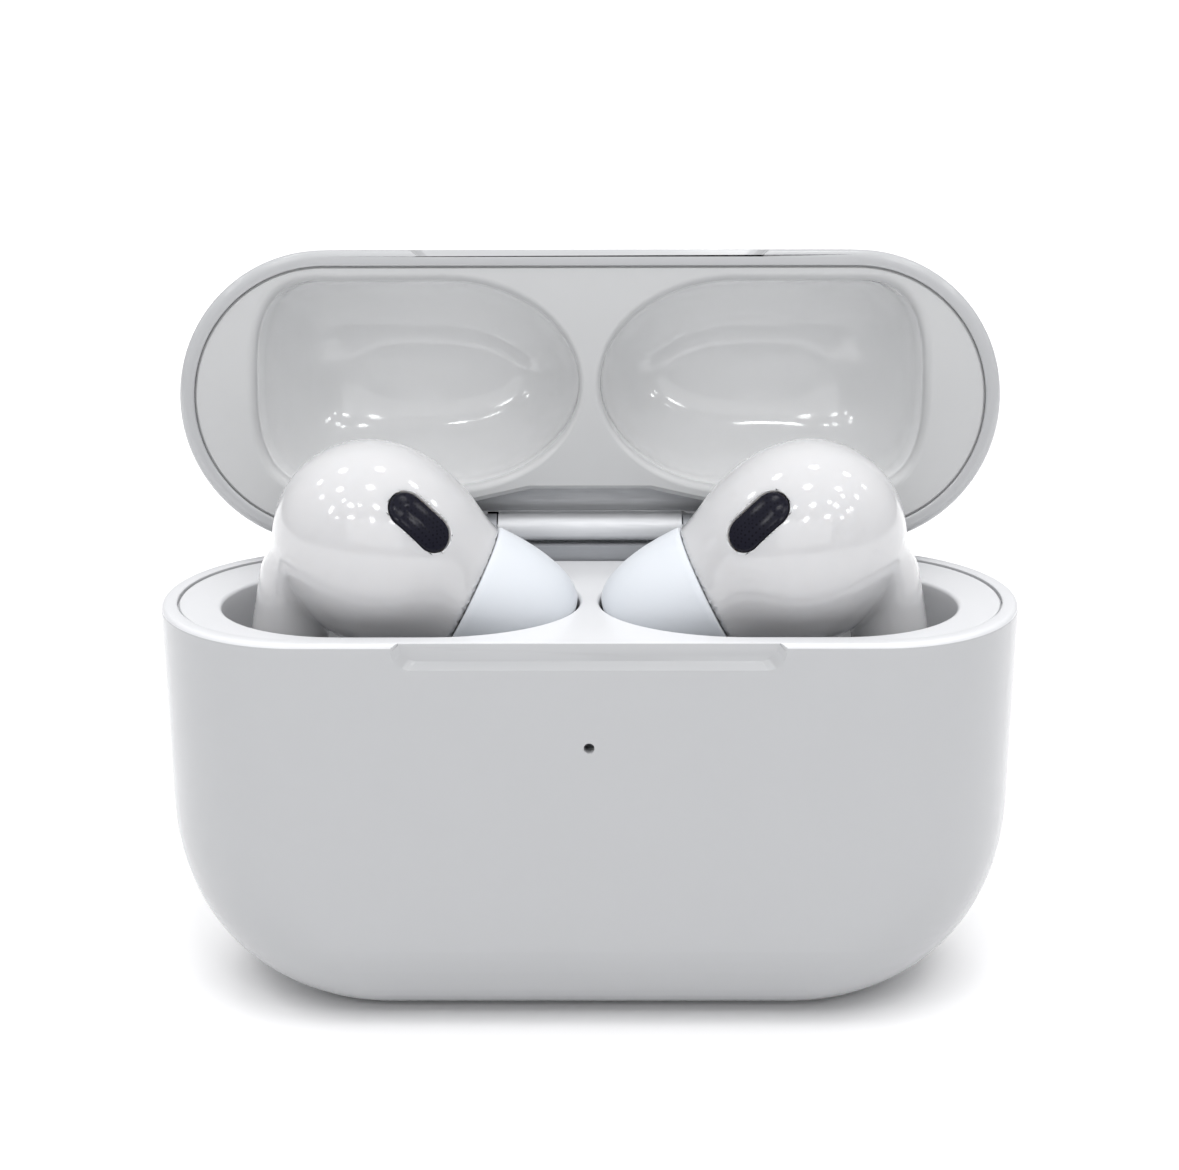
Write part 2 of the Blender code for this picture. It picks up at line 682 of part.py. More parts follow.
def sloped(slope):
    """An axis that points down and towards the middle, and the upward direction across it."""
    return Vector((-math.cos(slope), 0.0, -math.sin(slope))), Vector((-math.sin(slope), 0.0, math.cos(slope)))


def tip_axis():
    """The direction in which the ear tip points."""
    return sloped(TIP_SLOPE)[0]


def head_up():
    """The head's own upward direction, across the tip's axis."""
    return sloped(TIP_SLOPE)[1]


def head_centre():
    """The middle of the head."""
    return Vector((HEAD_X, WELL_Y, HEAD_Z))


def hollow_centre():
    """The middle of the head's hollow."""
    return head_centre() + Vector((-0.15 * MM, 0.0, -0.7 * MM))


def tip_base():
    """The point on the tip's axis where the tip starts."""
    return head_centre() + tip_axis() * TIP_START - head_up() * TIP_DROP


def stem_x(z):
    """The stem's middle at a height: it leans outward towards its foot."""
    return STEM_TOP_X + (SEAM_Z - z) * STEM_LEAN


def oval_body(centre, slope, halves, columns, rows, taper=0.0):
    """An ellipsoid on a sloping axis, narrowed along it by the taper."""
    axis, up = sloped(slope)
    shape = bmesh.new()
    bmesh.ops.create_uvsphere(shape, u_segments=columns, v_segments=rows, radius=1.0)
    for vert in shape.verts:
        along = vert.co.x * halves[0]
        share = 1.0 - taper * along
        sideways = Vector((0.0, vert.co.y * halves[1] * share, 0.0))
        vert.co = centre + axis * along + sideways + up * (vert.co.z * halves[2] * share)
    shape.normal_update()
    bmesh.ops.recalc_face_normals(shape, faces=shape.faces)
    return shape


def stem_shape():
    """The stem, rounded off where it runs into the head."""
    sections = [
        (CAP_TOP_Z + GAP, 1.0),
        (SEAM_Z, 1.0),
        (SEAM_Z + 2.2 * MM, 0.9),
        (SEAM_Z + 3.8 * MM, 0.72),
        (SEAM_Z + 4.6 * MM, 0.4),
    ]
    rings = []
    for z, share in sections:
        centre_x = stem_x(z) - (1.0 - share) * 0.8 * MM
        rings.append(ellipse_ring(STEM_HALF[0] * share, STEM_HALF[1] * share, z, centre_x, WELL_Y))
    return loft(rings)


def stem_bore():
    """The hollow of the stem, open at its foot and into the head."""
    rings = []
    for z in (STEM_FOOT_Z, SEAM_Z + 1.2 * MM):
        rings.append(ellipse_ring(STEM_HALF[0] - STEM_WALL, STEM_HALF[1] - STEM_WALL, z, stem_x(z), WELL_Y))
    return loft(rings)


def vent_normal():
    """Straight out of the head where the black vent sits."""
    from_middle = Vector((VENT_X, VENT_Y, VENT_Z)) - head_centre()
    along = from_middle.dot(tip_axis()) / HEAD_LONG**2
    up = from_middle.dot(head_up()) / HEAD_TALL**2
    deep = from_middle.y / HEAD_DEEP**2
    return (tip_axis() * along + head_up() * up + Vector((0.0, deep, 0.0))).normalized()


def vent_shape(length, width, low, high):
    """An oval plug through the head's skin, its long side slanting down to the middle."""
    normal = vent_normal()
    slant = Vector((-math.cos(VENT_SLANT), 0.0, -math.sin(VENT_SLANT)))
    long_way = (slant - normal * slant.dot(normal)).normalized()
    short_way = normal.cross(long_way)
    centre = Vector((VENT_X, VENT_Y, VENT_Z))
    rings = []
    for height in (low, high):
        ring = []
        for point in stadium_ring(length / 2, width / 2, 0.0):
            ring.append(centre + long_way * point.x + short_way * point.y + normal * height)
        rings.append(ring)
    return loft(rings)


def make_housing(side, name, pivot):
    """The hard shell of the head and stem, hollow, open for the nozzle, the vent and the stem's foot."""
    halves = (HEAD_LONG, HEAD_DEEP, HEAD_TALL)
    head = oval_body(head_centre(), TIP_SLOPE, halves, 24, 14)
    part = add_part(f"{name}_bud_housing", on_side(head, side), "white_gloss", pivot)
    egg = oval_body(Vector((EGG_X, WELL_Y, EGG_Z)), EGG_SLOPE, EGG_HALF, 24, 14, EGG_TAPER)
    combine(part, "INTERSECT", "egg", on_side(egg, side))
    join(part, "stem", on_side(stem_shape(), side))
    seat = rod(tip_base(), tip_axis(), TIP_RIM - GAP, 6.0 * MM, 8.0 * MM)
    cut(part, "tip_seat", on_side(seat, side))
    hollow = oval_body(hollow_centre(), HOLLOW_SLOPE, HOLLOW_HALF, 14, 8)
    cut(part, "hollow", on_side(hollow, side))
    cut(part, "bore", on_side(stem_bore(), side))
    nozzle = rod(tip_base(), tip_axis(), -5.0 * MM, 3.0 * MM, NOZZLE_RADIUS + 1.5 * GAP, 16)
    cut(part, "nozzle_hole", on_side(nozzle, side))
    vent = vent_shape(VENT_LENGTH + GAP, VENT_WIDTH + GAP, -3.0 * MM, 2.0 * MM)
    cut(part, "vent_hole", on_side(vent, side))


def make_ear_tip(side, name, pivot):
    """The soft tip: a skirt that turns back over a sleeve on the nozzle."""
    rim = TIP_RIM / MM
    outside = [(rim, 5.1), (3.2, 4.84), (5.3, 4.35), (6.7, 3.75), (7.5, 3.15), (7.8, 2.45)]
    inside = [(1.9, 2.45), (1.9, 2.9), (6.4, 2.9), (6.0, 3.35), (4.9, 3.9), (3.0, 4.3), (rim, 4.55)]
    profile = [(along * MM, radius * MM) for along, radius in outside + inside]
    tip = turned(profile, tip_base(), tip_axis(), 24)
    middle = Matrix.Translation((0.0, WELL_Y, 0.0))
    flatten = middle @ Matrix.Diagonal((1.0, TIP_FLATTEN, 1.0, 1.0)) @ middle.inverted()
    tip.transform(flatten)
    add_part(f"{name}_ear_tip", on_side(tip, side), "silicone", pivot)


def make_bud_parts(side, name, pivot):
    """What is fixed in and on the housing."""
    base = tip_base()
    axis = tip_axis()
    nozzle = tube(base, axis, -1.6 * MM, 5.8 * MM, NOZZLE_RADIUS, NOZZLE_RADIUS - 0.5 * MM, 16)
    add_part(f"{name}_bud_nozzle", on_side(nozzle, side), "white_satin", pivot)
    screen = rod(base, axis, 5.2 * MM, 5.5 * MM, NOZZLE_RADIUS - 0.5 * MM - 0.2 * MM, 16)
    add_part(f"{name}_bud_screen", on_side(screen, side), "dark_plastic", pivot)
    vent = vent_shape(VENT_LENGTH - GAP, VENT_WIDTH - GAP, -0.95 * MM, -0.2 * MM)
    add_part(f"{name}_bud_vent", on_side(vent, side), "vent_black", pivot)
    driver = rod(hollow_centre(), axis, 0.9 * MM, 2.9 * MM, 3.2 * MM)
    add_part(f"{name}_bud_driver", on_side(driver, side), "steel", pivot)
    cell = rod(hollow_centre(), axis, -3.9 * MM, 0.5 * MM, 3.5 * MM)
    add_part(f"{name}_bud_battery", on_side(cell, side), "steel", pivot)
    board = []
    for z in (12.6 * MM, 26.0 * MM):
        x = stem_x(z)
        corners = ((-1, -1), (1, -1), (1, 1), (-1, 1))
        board.append([Vector((x + 1.2 * MM * a, WELL_Y + 0.4 * MM * b, z)) for a, b in corners])
    add_part(f"{name}_bud_board", on_side(loft(board), side), "board_green", pivot)
    cap = []
    for z, share in ((STEM_FOOT_Z, 0.82), (STEM_FOOT_Z + 0.4 * MM, 0.97), (CAP_TOP_Z, 1.0)):
        cap.append(ellipse_ring(STEM_HALF[0] * share, STEM_HALF[1] * share, z, stem_x(z), WELL_Y))
    add_part(f"{name}_contact_cap", on_side(loft(cap), side), "steel", pivot)


def make_earbud(side, name):
    """One earbud, on the axis along which it lifts out."""
    pivot = add_pivot(f"{name}_earbud_axis", (side * HEAD_X, WELL_Y, HEAD_Z))
    make_housing(side, name, pivot)
    make_ear_tip(side, name, pivot)
    make_bud_parts(side, name, pivot)


def make_base():
    """Everything fixed in the base, and its button and pins."""
    make_body_shell()
    make_tray()
    make_inlet()
    make_power_and_board()
    make_coil()
    make_light_guide()
    make_button()
    make_base_magnets()
    make_hinge_base()
    for side, name in ((1, "right"), (-1, "left")):
        make_charging_pins(side, name)


def make_lid():
    """Everything that swings with the lid."""
    pivot = add_pivot("lid_hinge_axis", (0.0, HINGE_Y, HINGE_Z), -OPEN_ANGLE)
    make_lid_shell(pivot)
    make_lid_liner(pivot)
    make_lid_magnet(pivot)
    make_hinge_lid(pivot)


def main():
    """Builds the whole object."""
    clear_scene()
    make_base()
    make_lid()
    for side, name in ((1, "right"), (-1, "left")):
        make_earbud(side, name)


main()
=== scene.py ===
"""Looks of the wireless earbuds case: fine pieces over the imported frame, finishes, studio and camera.

Metres, in the row frame. Shapes are laid out in the closed case with its middle at x = y = 0, and are then
moved to their place in the row. The lid's are laid out closed too, and turned open on the hinge's axis.
"""

import json
import math

import bmesh
import bpy
import numpy as np
from mathutils import Matrix, Vector


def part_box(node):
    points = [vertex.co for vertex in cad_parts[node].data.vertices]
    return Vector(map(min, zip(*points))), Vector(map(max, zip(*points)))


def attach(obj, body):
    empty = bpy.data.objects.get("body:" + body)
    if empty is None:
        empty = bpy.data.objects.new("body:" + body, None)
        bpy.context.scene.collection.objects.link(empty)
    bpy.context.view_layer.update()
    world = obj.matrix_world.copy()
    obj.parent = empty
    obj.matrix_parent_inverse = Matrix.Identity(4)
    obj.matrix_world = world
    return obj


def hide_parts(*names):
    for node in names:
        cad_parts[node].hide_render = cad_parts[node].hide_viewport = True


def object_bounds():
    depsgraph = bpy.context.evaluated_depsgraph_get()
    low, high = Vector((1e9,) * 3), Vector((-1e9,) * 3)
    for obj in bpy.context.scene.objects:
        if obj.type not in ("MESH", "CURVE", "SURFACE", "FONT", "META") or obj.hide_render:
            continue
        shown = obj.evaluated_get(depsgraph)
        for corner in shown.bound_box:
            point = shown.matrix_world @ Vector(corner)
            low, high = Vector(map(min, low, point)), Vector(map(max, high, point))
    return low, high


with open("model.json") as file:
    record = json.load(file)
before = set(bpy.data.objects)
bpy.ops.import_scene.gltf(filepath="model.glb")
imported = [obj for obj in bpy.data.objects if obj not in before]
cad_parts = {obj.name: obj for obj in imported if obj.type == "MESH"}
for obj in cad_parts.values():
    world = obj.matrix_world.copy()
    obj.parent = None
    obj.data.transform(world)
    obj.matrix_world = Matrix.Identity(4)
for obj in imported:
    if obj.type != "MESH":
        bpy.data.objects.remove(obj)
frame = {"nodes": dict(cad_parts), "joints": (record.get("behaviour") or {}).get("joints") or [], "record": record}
cad_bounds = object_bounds()

MM = 0.001

# Where things are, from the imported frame
SHELL_LOW, SHELL_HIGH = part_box("body_shell")
HALF_LENGTH = (SHELL_HIGH.x - SHELL_LOW.x) / 2.0
HALF_DEPTH = (SHELL_HIGH.y - SHELL_LOW.y) / 2.0
SEAM_Z = SHELL_HIGH.z
HINGE = next(joint for joint in frame["joints"] if joint["name"] == "lid_hinge")
SHIFT = Vector((0.0, (SHELL_HIGH.y + SHELL_LOW.y) / 2.0, 0.0))
HINGE_AT = Vector(HINGE["pos_m"]) - SHIFT
OPEN_ANGLE = math.radians(-HINGE["range_deg"][0])
TO_ROW = Matrix.Translation(SHIFT)
TO_OPEN = (
    TO_ROW
    @ Matrix.Translation(HINGE_AT)
    @ Matrix.Rotation(-OPEN_ANGLE, 4, "X")
    @ Matrix.Translation(-HINGE_AT)
)
BODY_OF = {node: body for body, nodes in frame["record"]["behaviour"]["bodies"].items() for node in nodes}
SLOT_OF = {part["node"]: part["material_slot"] for part in frame["record"]["subparts"]}

# The shells
SEAM_GAP = 0.2 * MM
TOP_Z = 45.08 * MM
WALL = 1.15 * MM
FLOOR = 1.4 * MM
GAP = 0.3 * MM
SKIN_GAP = 0.11 * MM
PLATE_SINK = 0.15 * MM
PLATE_THICKNESS = 1.45 * MM
GROOVE = 0.2 * MM
GROOVE_GAP = 0.02 * MM
BASE_LIP = (0.4 * MM, 0.5 * MM)
# How far up a face must point to get the rim lip's painted light
LIT_LIP_FACES_UP = 0.35
LID_LIP = (0.6 * MM, 0.6 * MM)
INNER_LIP = 0.12 * MM

# Rounding of the long edges: how far it pulls in, over what height, and its power
END_ROUND = (13.0 * MM, 14.4 * MM, 2.15)
SIDE_ROUND = (6.35 * MM, 7.2 * MM, 2.2)
LID_END_ROUND = (13.0 * MM, 14.0 * MM, 2.15)
LID_SIDE_ROUND = (7.6 * MM, 8.6 * MM, 2.2)

# Thumb notch: at the face, and at its depth
NOTCH_FACE = (13.1 * MM, 1.8 * MM)
NOTCH_BED = (12.6 * MM, 1.3 * MM)
NOTCH_DEPTH = 0.42 * MM
NOTCH_CORNER = 1.3 * MM

# Hinge
BARREL_RADIUS = 1.0 * MM
PIN_RADIUS = 0.45 * MM
PIN_CLEARANCE = 0.06 * MM
BARREL_HALF_LENGTH = 7.8 * MM
MIDDLE_KNUCKLE = 6.9 * MM
KNUCKLE_GAP = 0.08 * MM
SHELF_BACK_Y = 10.35 * MM
SHELF_LOW = 0.3 * MM
SHELF_HIGH = 0.9 * MM
BODY_LEAF_RISE = 0.95 * MM
LID_LEAF_RISE = 6.6 * MM
LEAF_THICKNESS = 0.65 * MM
LEAF_FRONT_Y = HINGE_AT.y - BARREL_RADIUS - 0.15 * MM
LEAF_FOOT_Z = 22.4 * MM

# Earbud wells, and the lid's domes above them
WELL_Y = -1.1 * MM
WELL_OUTER_X = 25.9 * MM
WELL_INNER_X = 0.7 * MM
WELL_HALF_DEPTH = 7.55 * MM
WELL_OUTER_REACH = 9.0 * MM
WELL_INNER_REACH = 10.1 * MM
WELL_FLOOR_Z = 21.0 * MM
WELL_FLOOR_PULL = 4.2 * MM
WELL_ROUND_Z = 27.5 * MM
WELL_POWER = 2.8
WELL_WALL = 0.8 * MM
WELL_LIP = 0.3 * MM
SLOT_X = 22.2 * MM
SLOT_HALF = (3.6 * MM, 3.4 * MM)
SLOT_BOTTOM_Z = 8.0 * MM
DOME_HEIGHT = 12.6 * MM
DOME_ROUND = (5.5 * MM, 8.0 * MM, 2.2)
DOME_OUTER_X = 24.6 * MM
DOME_OUTER_REACH = 5.2 * MM
DOME_POWER = 2.8
DOME_LIPS = (0.4 * MM, 0.7 * MM, 0.6 * MM)

# Earbud: the head is an ellipsoid whose long axis points down to the middle of the case
HEAD_X = 14.6 * MM
HEAD_Z = SEAM_Z + 4.3 * MM
HEAD_HALF = (8.3 * MM, 6.9 * MM, 7.4 * MM)
EGG_AT = Vector((12.6 * MM, WELL_Y, SEAM_Z + 1.75 * MM))
EGG_HALF = (10.75 * MM, 7.6 * MM, 6.85 * MM)
EGG_SLOPE = math.radians(46.8)
EGG_TAPER = 0.0231 / MM
HOLLOW_HALF = (6.8 * MM, 5.9 * MM, 5.6 * MM)
HOLLOW_SLOPE = math.radians(36.0)
TIP_SLOPE = math.radians(26.9)
TIP_DROP = 0.67 * MM
TIP_START = 6.53 * MM
TIP_RIM = 0.6 * MM
TIP_SEAT_GAP = 0.02 * MM
TIP_FLATTEN = 1.03
COLLAR_HALF = (5.1 * MM, 4.75 * MM)
STEM_HALF = (2.7 * MM, 3.0 * MM)
STEM_TOP_X = 21.0 * MM
STEM_LEAN = 1.7 / 19.0
STEM_WALL = 0.9 * MM
STEM_FOOT_Z = 10.0 * MM
STEM_TOP_Z = 33.4 * MM
CAP_TOP_Z = 11.1 * MM
NECK_BLEND = 0.9 * MM
NECK_Z = 27.5 * MM
NECK_LEAN = 0.1
SKIN_VOXEL = 0.22 * MM
NOZZLE_RADIUS = 1.85 * MM
NOZZLE_BORE = 1.35 * MM
VENT_AT = Vector((11.1 * MM, -6.62 * MM, 36.4 * MM))
VENT_SIZE = (4.95 * MM, 2.6 * MM)
VENT_SLANT = math.radians(45.0)

# Openings of the base
LIGHT_Z = SEAM_Z - 7.4 * MM
LIGHT_RADIUS = 0.35 * MM
BUTTON_Z = 13.0 * MM
BUTTON_RADIUS = 2.3 * MM
INLET_HALF = (4.45 * MM, 1.6 * MM)
INLET_HEIGHT = 6.8 * MM
INLET_WALL = 0.3 * MM
CHARGE_PIN_RADIUS = 0.4 * MM

# How finely shapes are sampled
END_STEPS = 48
ROUND_STEPS = 48
LIP_STEPS = 5
EDGE_BEVEL = 0.07 * MM

# Tones of the finishes
WHITE = (0.385, 0.39, 0.4)
# The tray's satin tone, which also paints light onto the base's upward-facing rim lip
SATIN_AND_LIT_LIP = (0.58, 0.585, 0.6)
LINER = (0.445, 0.45, 0.455)
# The domes' tone, much lighter than the liner's: painted light that lifts the shade inside the recesses; their
# gloss is real
POLISHED_AND_LIT = (0.76, 0.765, 0.77)
BUD_WHITE = (0.52, 0.52, 0.53)
SILICONE = (0.55, 0.575, 0.61)
# A lighter copy of the hinge metal for the lid's leaf: painted light in the shaded cavity behind the liner
LIT_NICKEL = (0.74, 0.75, 0.77)
# A darker copy of the hinge metal for the body's leaf: painted shade under the barrel
SHADED_NICKEL = (0.35, 0.36, 0.38)

# How far each colour of light travels inside the white plastics
GLOW_REACH = (2.0 * MM, 1.9 * MM, 1.8 * MM)
MATT_SKIN = {"Sheen_Weight": 0.12, "Sheen_Roughness": 0.5}


# Outlines


def pulled_in(height, rounding):
    """How far a rounded edge pulls in at a height above its end."""
    width, reach, power = rounding
    if height >= reach:
        return 0.0
    share = (reach - max(height, 0.0)) / reach
    return width * (1.0 - (1.0 - share**power) ** (1.0 / power))


def rounding_levels(rounding, count):
    """Heights at which a rounded edge is sampled, close together where it turns most."""
    reach, power = rounding[1], rounding[2]
    return [reach * (1.0 - math.cos(0.5 * math.pi * i / count) ** (2.0 / power)) for i in range(count + 1)]


def edge_levels(end_rounding, side_rounding):
    """Heights that sample the rounding of the ends and of the sides together."""
    kept = []
    for level in sorted(rounding_levels(end_rounding, 22) + rounding_levels(side_rounding, 18)):
        if not kept or level - kept[-1] > 0.1 * MM:
            kept.append(level)
    return kept


def shrunk(rounding, by):
    """The rounding of a wall's inner face."""
    return (rounding[0] - 0.6 * by, rounding[1] - by, rounding[2])


def oval_ring(low_x, high_x, low_reach, high_reach, half_depth, centre_y, z, power=2.0):
    """A level ring: two round ends joined by straight sides, or shortened until they meet.

    A power over 2 squares the high end.
    """
    fit = min(1.0, (high_x - low_x) / (low_reach + high_reach))
    low_reach, high_reach = low_reach * fit, high_reach * fit
    points = []
    ends = ((high_x - high_reach, high_reach, -0.5), (low_x + low_reach, low_reach, 0.5))
    for centre_x, reach, turn in ends:
        for i in range(END_STEPS + 1):
            angle = math.pi * (i / END_STEPS + turn)
            across, along = math.sin(angle), math.cos(angle)
            if turn < 0.0:
                stretch = (abs(across) ** power + abs(along) ** power) ** (-1.0 / power)
                across, along = across * stretch, along * stretch
            points.append(Vector((centre_x + reach * along, centre_y + half_depth * across, z)))
    return points


def stadium_ring(half_length, half_depth, z, centre_x=0.0, centre_y=0.0):
    """A level ring with semicircular ends."""
    low, high = centre_x - half_length, centre_x + half_length
    return oval_ring(low, high, half_depth, half_depth, half_depth, centre_y, z)


def case_ring(offset, z):
    """The case's outline at a height, pulled in by offset."""
    return stadium_ring(HALF_LENGTH - offset, HALF_DEPTH - offset, z)


def ellipse_ring(half_x, half_y, z, centre_x, centre_y):
    """A level ellipse."""
    points = []
    for i in range(ROUND_STEPS):
        angle = 2.0 * math.pi * i / ROUND_STEPS
        points.append(Vector((centre_x + half_x * math.cos(angle), centre_y + half_y * math.sin(angle), z)))
    return points


def circle(origin, axis, along, radius, steps=ROUND_STEPS):
    """Points round an axis, at a distance along it."""
    axis = Vector(axis).normalized()
    across = axis.orthogonal().normalized()
    other = axis.cross(across)
    centre = Vector(origin) + axis * along
    points = []
    for i in range(steps):
        angle = 2.0 * math.pi * i / steps
        points.append(centre + (across * math.cos(angle) + other * math.sin(angle)) * radius)
    return points


def lip_steps(count=LIP_STEPS):
    """A rounded lip: shares of how far it has pulled in and how far it has risen."""
    angles = [0.5 * math.pi * i / count for i in range(count + 1)]
    return [(1.0 - math.cos(angle), math.sin(angle)) for angle in angles]


# Closed bodies


def loft(rings):
    """A closed body through rings of equal count, with flat ends."""
    shape = bmesh.new()
    loops = [[shape.verts.new(point) for point in ring] for ring in rings]
    for lower, upper in zip(loops, loops[1:]):
        for i in range(len(lower)):
            j = (i + 1) % len(lower)
            shape.faces.new((lower[i], lower[j], upper[j], upper[i]))
    shape.faces.new(reversed(loops[0]))
    shape.faces.new(loops[-1])
    bmesh.ops.remove_doubles(shape, verts=shape.verts, dist=0.0001 * MM)
    bmesh.ops.recalc_face_normals(shape, faces=shape.faces)
    return shape


def turned(profile, origin, axis, steps=ROUND_STEPS):
    """A closed outline of (distance along the axis, radius) turned about the axis."""
    shape = bmesh.new()
    loops = []
    for along, radius in profile:
        loops.append([shape.verts.new(point) for point in circle(origin, axis, along, radius, steps)])
    for k, lower in enumerate(loops):
        upper = loops[(k + 1) % len(loops)]
        for i in range(steps):
            j = (i + 1) % steps
            shape.faces.new((lower[i], lower[j], upper[j], upper[i]))
    bmesh.ops.recalc_face_normals(shape, faces=shape.faces)
    return shape


def lathe(profile, origin, axis, steps=ROUND_STEPS):
    """A solid turned shape: its profile runs from one flat end to the other."""
    return loft([circle(origin, axis, along, radius, steps) for along, radius in profile])


def rod(origin, axis, start, end, radius, steps=ROUND_STEPS):
    """A round bar between two distances along an axis."""
    return lathe([(start, radius), (end, radius)], origin, axis, steps)


def box(low, high):
    """A block between two corners."""
    shape = bmesh.new()
    bmesh.ops.create_cube(shape, size=1.0)
    low, high = Vector(low), Vector(high)
    bmesh.ops.scale(shape, verts=shape.verts, vec=high - low)
    bmesh.ops.translate(shape, verts=shape.verts, vec=(low + high) / 2.0)
    return shape


def barrel_box(low_y, low_z, high_y, high_z, grow=0.0):
    """A block as long as the hinge's barrel, or longer by grow at each end."""
    reach = BARREL_HALF_LENGTH + grow
    return box((-reach, low_y, low_z), (reach, high_y, high_z))


def on_side(shape, side):
    """Shapes are laid out on the right: side is 1 there and -1 on the left."""
    if side < 0:
        bmesh.ops.scale(shape, verts=shape.verts, vec=(-1.0, 1.0, 1.0))
        bmesh.ops.recalc_face_normals(shape, faces=shape.faces)
    return shape


# Pieces


def new_object(name, shape):
    """An object made from a shape."""
    mesh = bpy.data.meshes.new(name)
    shape.to_mesh(mesh)
    shape.free()
    item = bpy.data.objects.new(name, mesh)
    bpy.context.scene.collection.objects.link(item)
    return item


def settle(item):
    """Turns an object's modifiers into its mesh."""
    depsgraph = bpy.context.evaluated_depsgraph_get()
    mesh = bpy.data.meshes.new_from_object(item.evaluated_get(depsgraph), depsgraph=depsgraph)
    old = item.data
    item.modifiers.clear()
    item.data = mesh
    bpy.data.meshes.remove(old)


def carve(item, operation, shapes, finishes=()):
    """Joins shapes to an object or cuts them out of it; the faces they leave may keep their own finishes."""
    helpers = []
    for shape in shapes:
        helper = new_object("helper", shape)
        modifier = item.modifiers.new("carve", "BOOLEAN")
        modifier.operation = operation
        modifier.object = helper
        modifier.solver = "EXACT"
        for finish in finishes:
            helper.data.materials.append(finish)
            modifier.material_mode = "TRANSFER"
        helpers.append(helper)
    settle(item)
    for helper in helpers:
        bpy.data.meshes.remove(helper.data)


def soften_edges(item, width=EDGE_BEVEL, segments=2, angle=40.0):
    """Rounds an object's sharp edges."""
    modifier = item.modifiers.new("bevel", "BEVEL")
    modifier.width = width
    modifier.segments = segments
    modifier.limit_method = "ANGLE"
    modifier.angle_limit = math.radians(angle)
    modifier.use_clamp_overlap = False
    settle(item)


def finish_piece(item, node, place=TO_ROW, sharp=32.0, weighted=True):
    """Puts a piece in its place, in the stead of its CAD node, with that node's body and finish."""
    item.name = f"{node}_fine"
    item.data.transform(place)
    item.data.shade_smooth()
    item.data.set_sharp_from_angle(angle=math.radians(sharp))
    if weighted:
        modifier = item.modifiers.new("normals", "WEIGHTED_NORMAL")
        modifier.keep_sharp = True
        settle(item)
    if not item.data.materials:
        item.data.materials.append(finish_of(node))
    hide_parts(node)
    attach(item, BODY_OF[node])


# Finishes


def add_node(tree, kind, **inputs):
    """A shader node with some of its inputs set."""
    node = tree.nodes.new(kind)
    for name, value in inputs.items():
        node.inputs[name.replace("_", " ")].default_value = value
    return node


def placed(tree, kind, place=None, **inputs):
    """A texture node that reads places on the object, or the places it is given."""
    place = place or tree.nodes.new("ShaderNodeTexCoord").outputs["Object"]
    node = add_node(tree, kind, **inputs)
    tree.links.new(place, node.inputs["Vector"])
    return node


def noise(tree, scale, detail=2.0, stretch=None):
    """The value of a cloud texture at a number of cells per metre, drawn out along an axis by stretch."""
    place = None
    if stretch:
        place = placed(tree, "ShaderNodeMapping", Scale=stretch).outputs["Vector"]
    return placed(tree, "ShaderNodeTexNoise", place, Scale=scale, Detail=detail).outputs["Fac"]


def spread(tree, value, low, high, start=0.3, end=0.7):
    """A value from start to end taken to one from low to high."""
    ramp = tree.nodes.new("ShaderNodeMapRange")
    for name, number in (("From Min", start), ("From Max", end), ("To Min", low), ("To Max", high)):
        ramp.inputs[name].default_value = number
    tree.links.new(value, ramp.inputs["Value"])
    return ramp.outputs["Result"]


def tinted(tree, value, first, second):
    """A colour between two, by a value."""
    mix = tree.nodes.new("ShaderNodeMix")
    mix.data_type = "RGBA"
    mix.inputs["A"].default_value = (*first, 1.0)
    mix.inputs["B"].default_value = (*second, 1.0)
    tree.links.new(value, mix.inputs["Factor"])
    return mix.outputs["Result"]


def bumped(tree, shader, *layers):
    """Raises the surface by layers of (value, strength, height)."""
    normal = None
    for value, strength, height in layers:
        bump = add_node(tree, "ShaderNodeBump", Strength=strength, Distance=height)
        tree.links.new(value, bump.inputs["Height"])
        if normal:
            tree.links.new(normal, bump.inputs["Normal"])
        normal = bump.outputs["Normal"]
    tree.links.new(normal, shader.inputs["Normal"])


def feed(tree, shader, colour, rough):
    """Plugs a colour and a roughness into a shader."""
    tree.links.new(colour, shader.inputs["Base Color"])
    tree.links.new(rough, shader.inputs["Roughness"])


def new_finish(name, **settings):
    """A material and its shader, with the shader's constant values."""
    material = bpy.data.materials.new(name)
    material.use_nodes = True
    shader = material.node_tree.nodes["Principled BSDF"]
    for key, value in settings.items():
        shader.inputs[key.replace("_", " ")].default_value = value
    return material, material.node_tree, shader


def moulded(name, tone, gloss, grain=0.05, soft=0.0, **settings):
    """Moulded plastic: uneven gloss, faint sink marks, a fine grain and hairline scratches."""
    material, tree, shader = new_finish(name, **settings)
    cloud = noise(tree, 160.0, 4.0)
    hairline = noise(tree, 900.0, 3.0, (1.0, 14.0, 3.0))
    darker = tuple(channel * 0.985 for channel in tone)
    blend = add_node(tree, "ShaderNodeMath")
    blend.operation = "ADD"
    tree.links.new(spread(tree, cloud, gloss * 0.93, gloss * 1.07), blend.inputs[0])
    tree.links.new(spread(tree, hairline, 0.0, gloss * 0.06, 0.6, 0.75), blend.inputs[1])
    feed(tree, shader, tinted(tree, cloud, darker, tone), blend.outputs[0])
    sink = noise(tree, 90.0, 1.0)
    fine = noise(tree, 7000.0, 2.0)
    bumped(tree, shader, (sink, 0.06, 0.06 * MM), (fine, grain, 0.01 * MM))
    if soft:
        shader.inputs["Subsurface Weight"].default_value = soft
        shader.inputs["Subsurface Radius"].default_value = GLOW_REACH
        shader.inputs["Subsurface Scale"].default_value = 1.0
    return material


def lacquered(name, tone, gloss, grain, soft, coat, coat_gloss):
    """Moulded plastic under a clear coat."""
    return moulded(name, tone, gloss, grain, soft, Coat_Weight=coat, Coat_Roughness=coat_gloss)


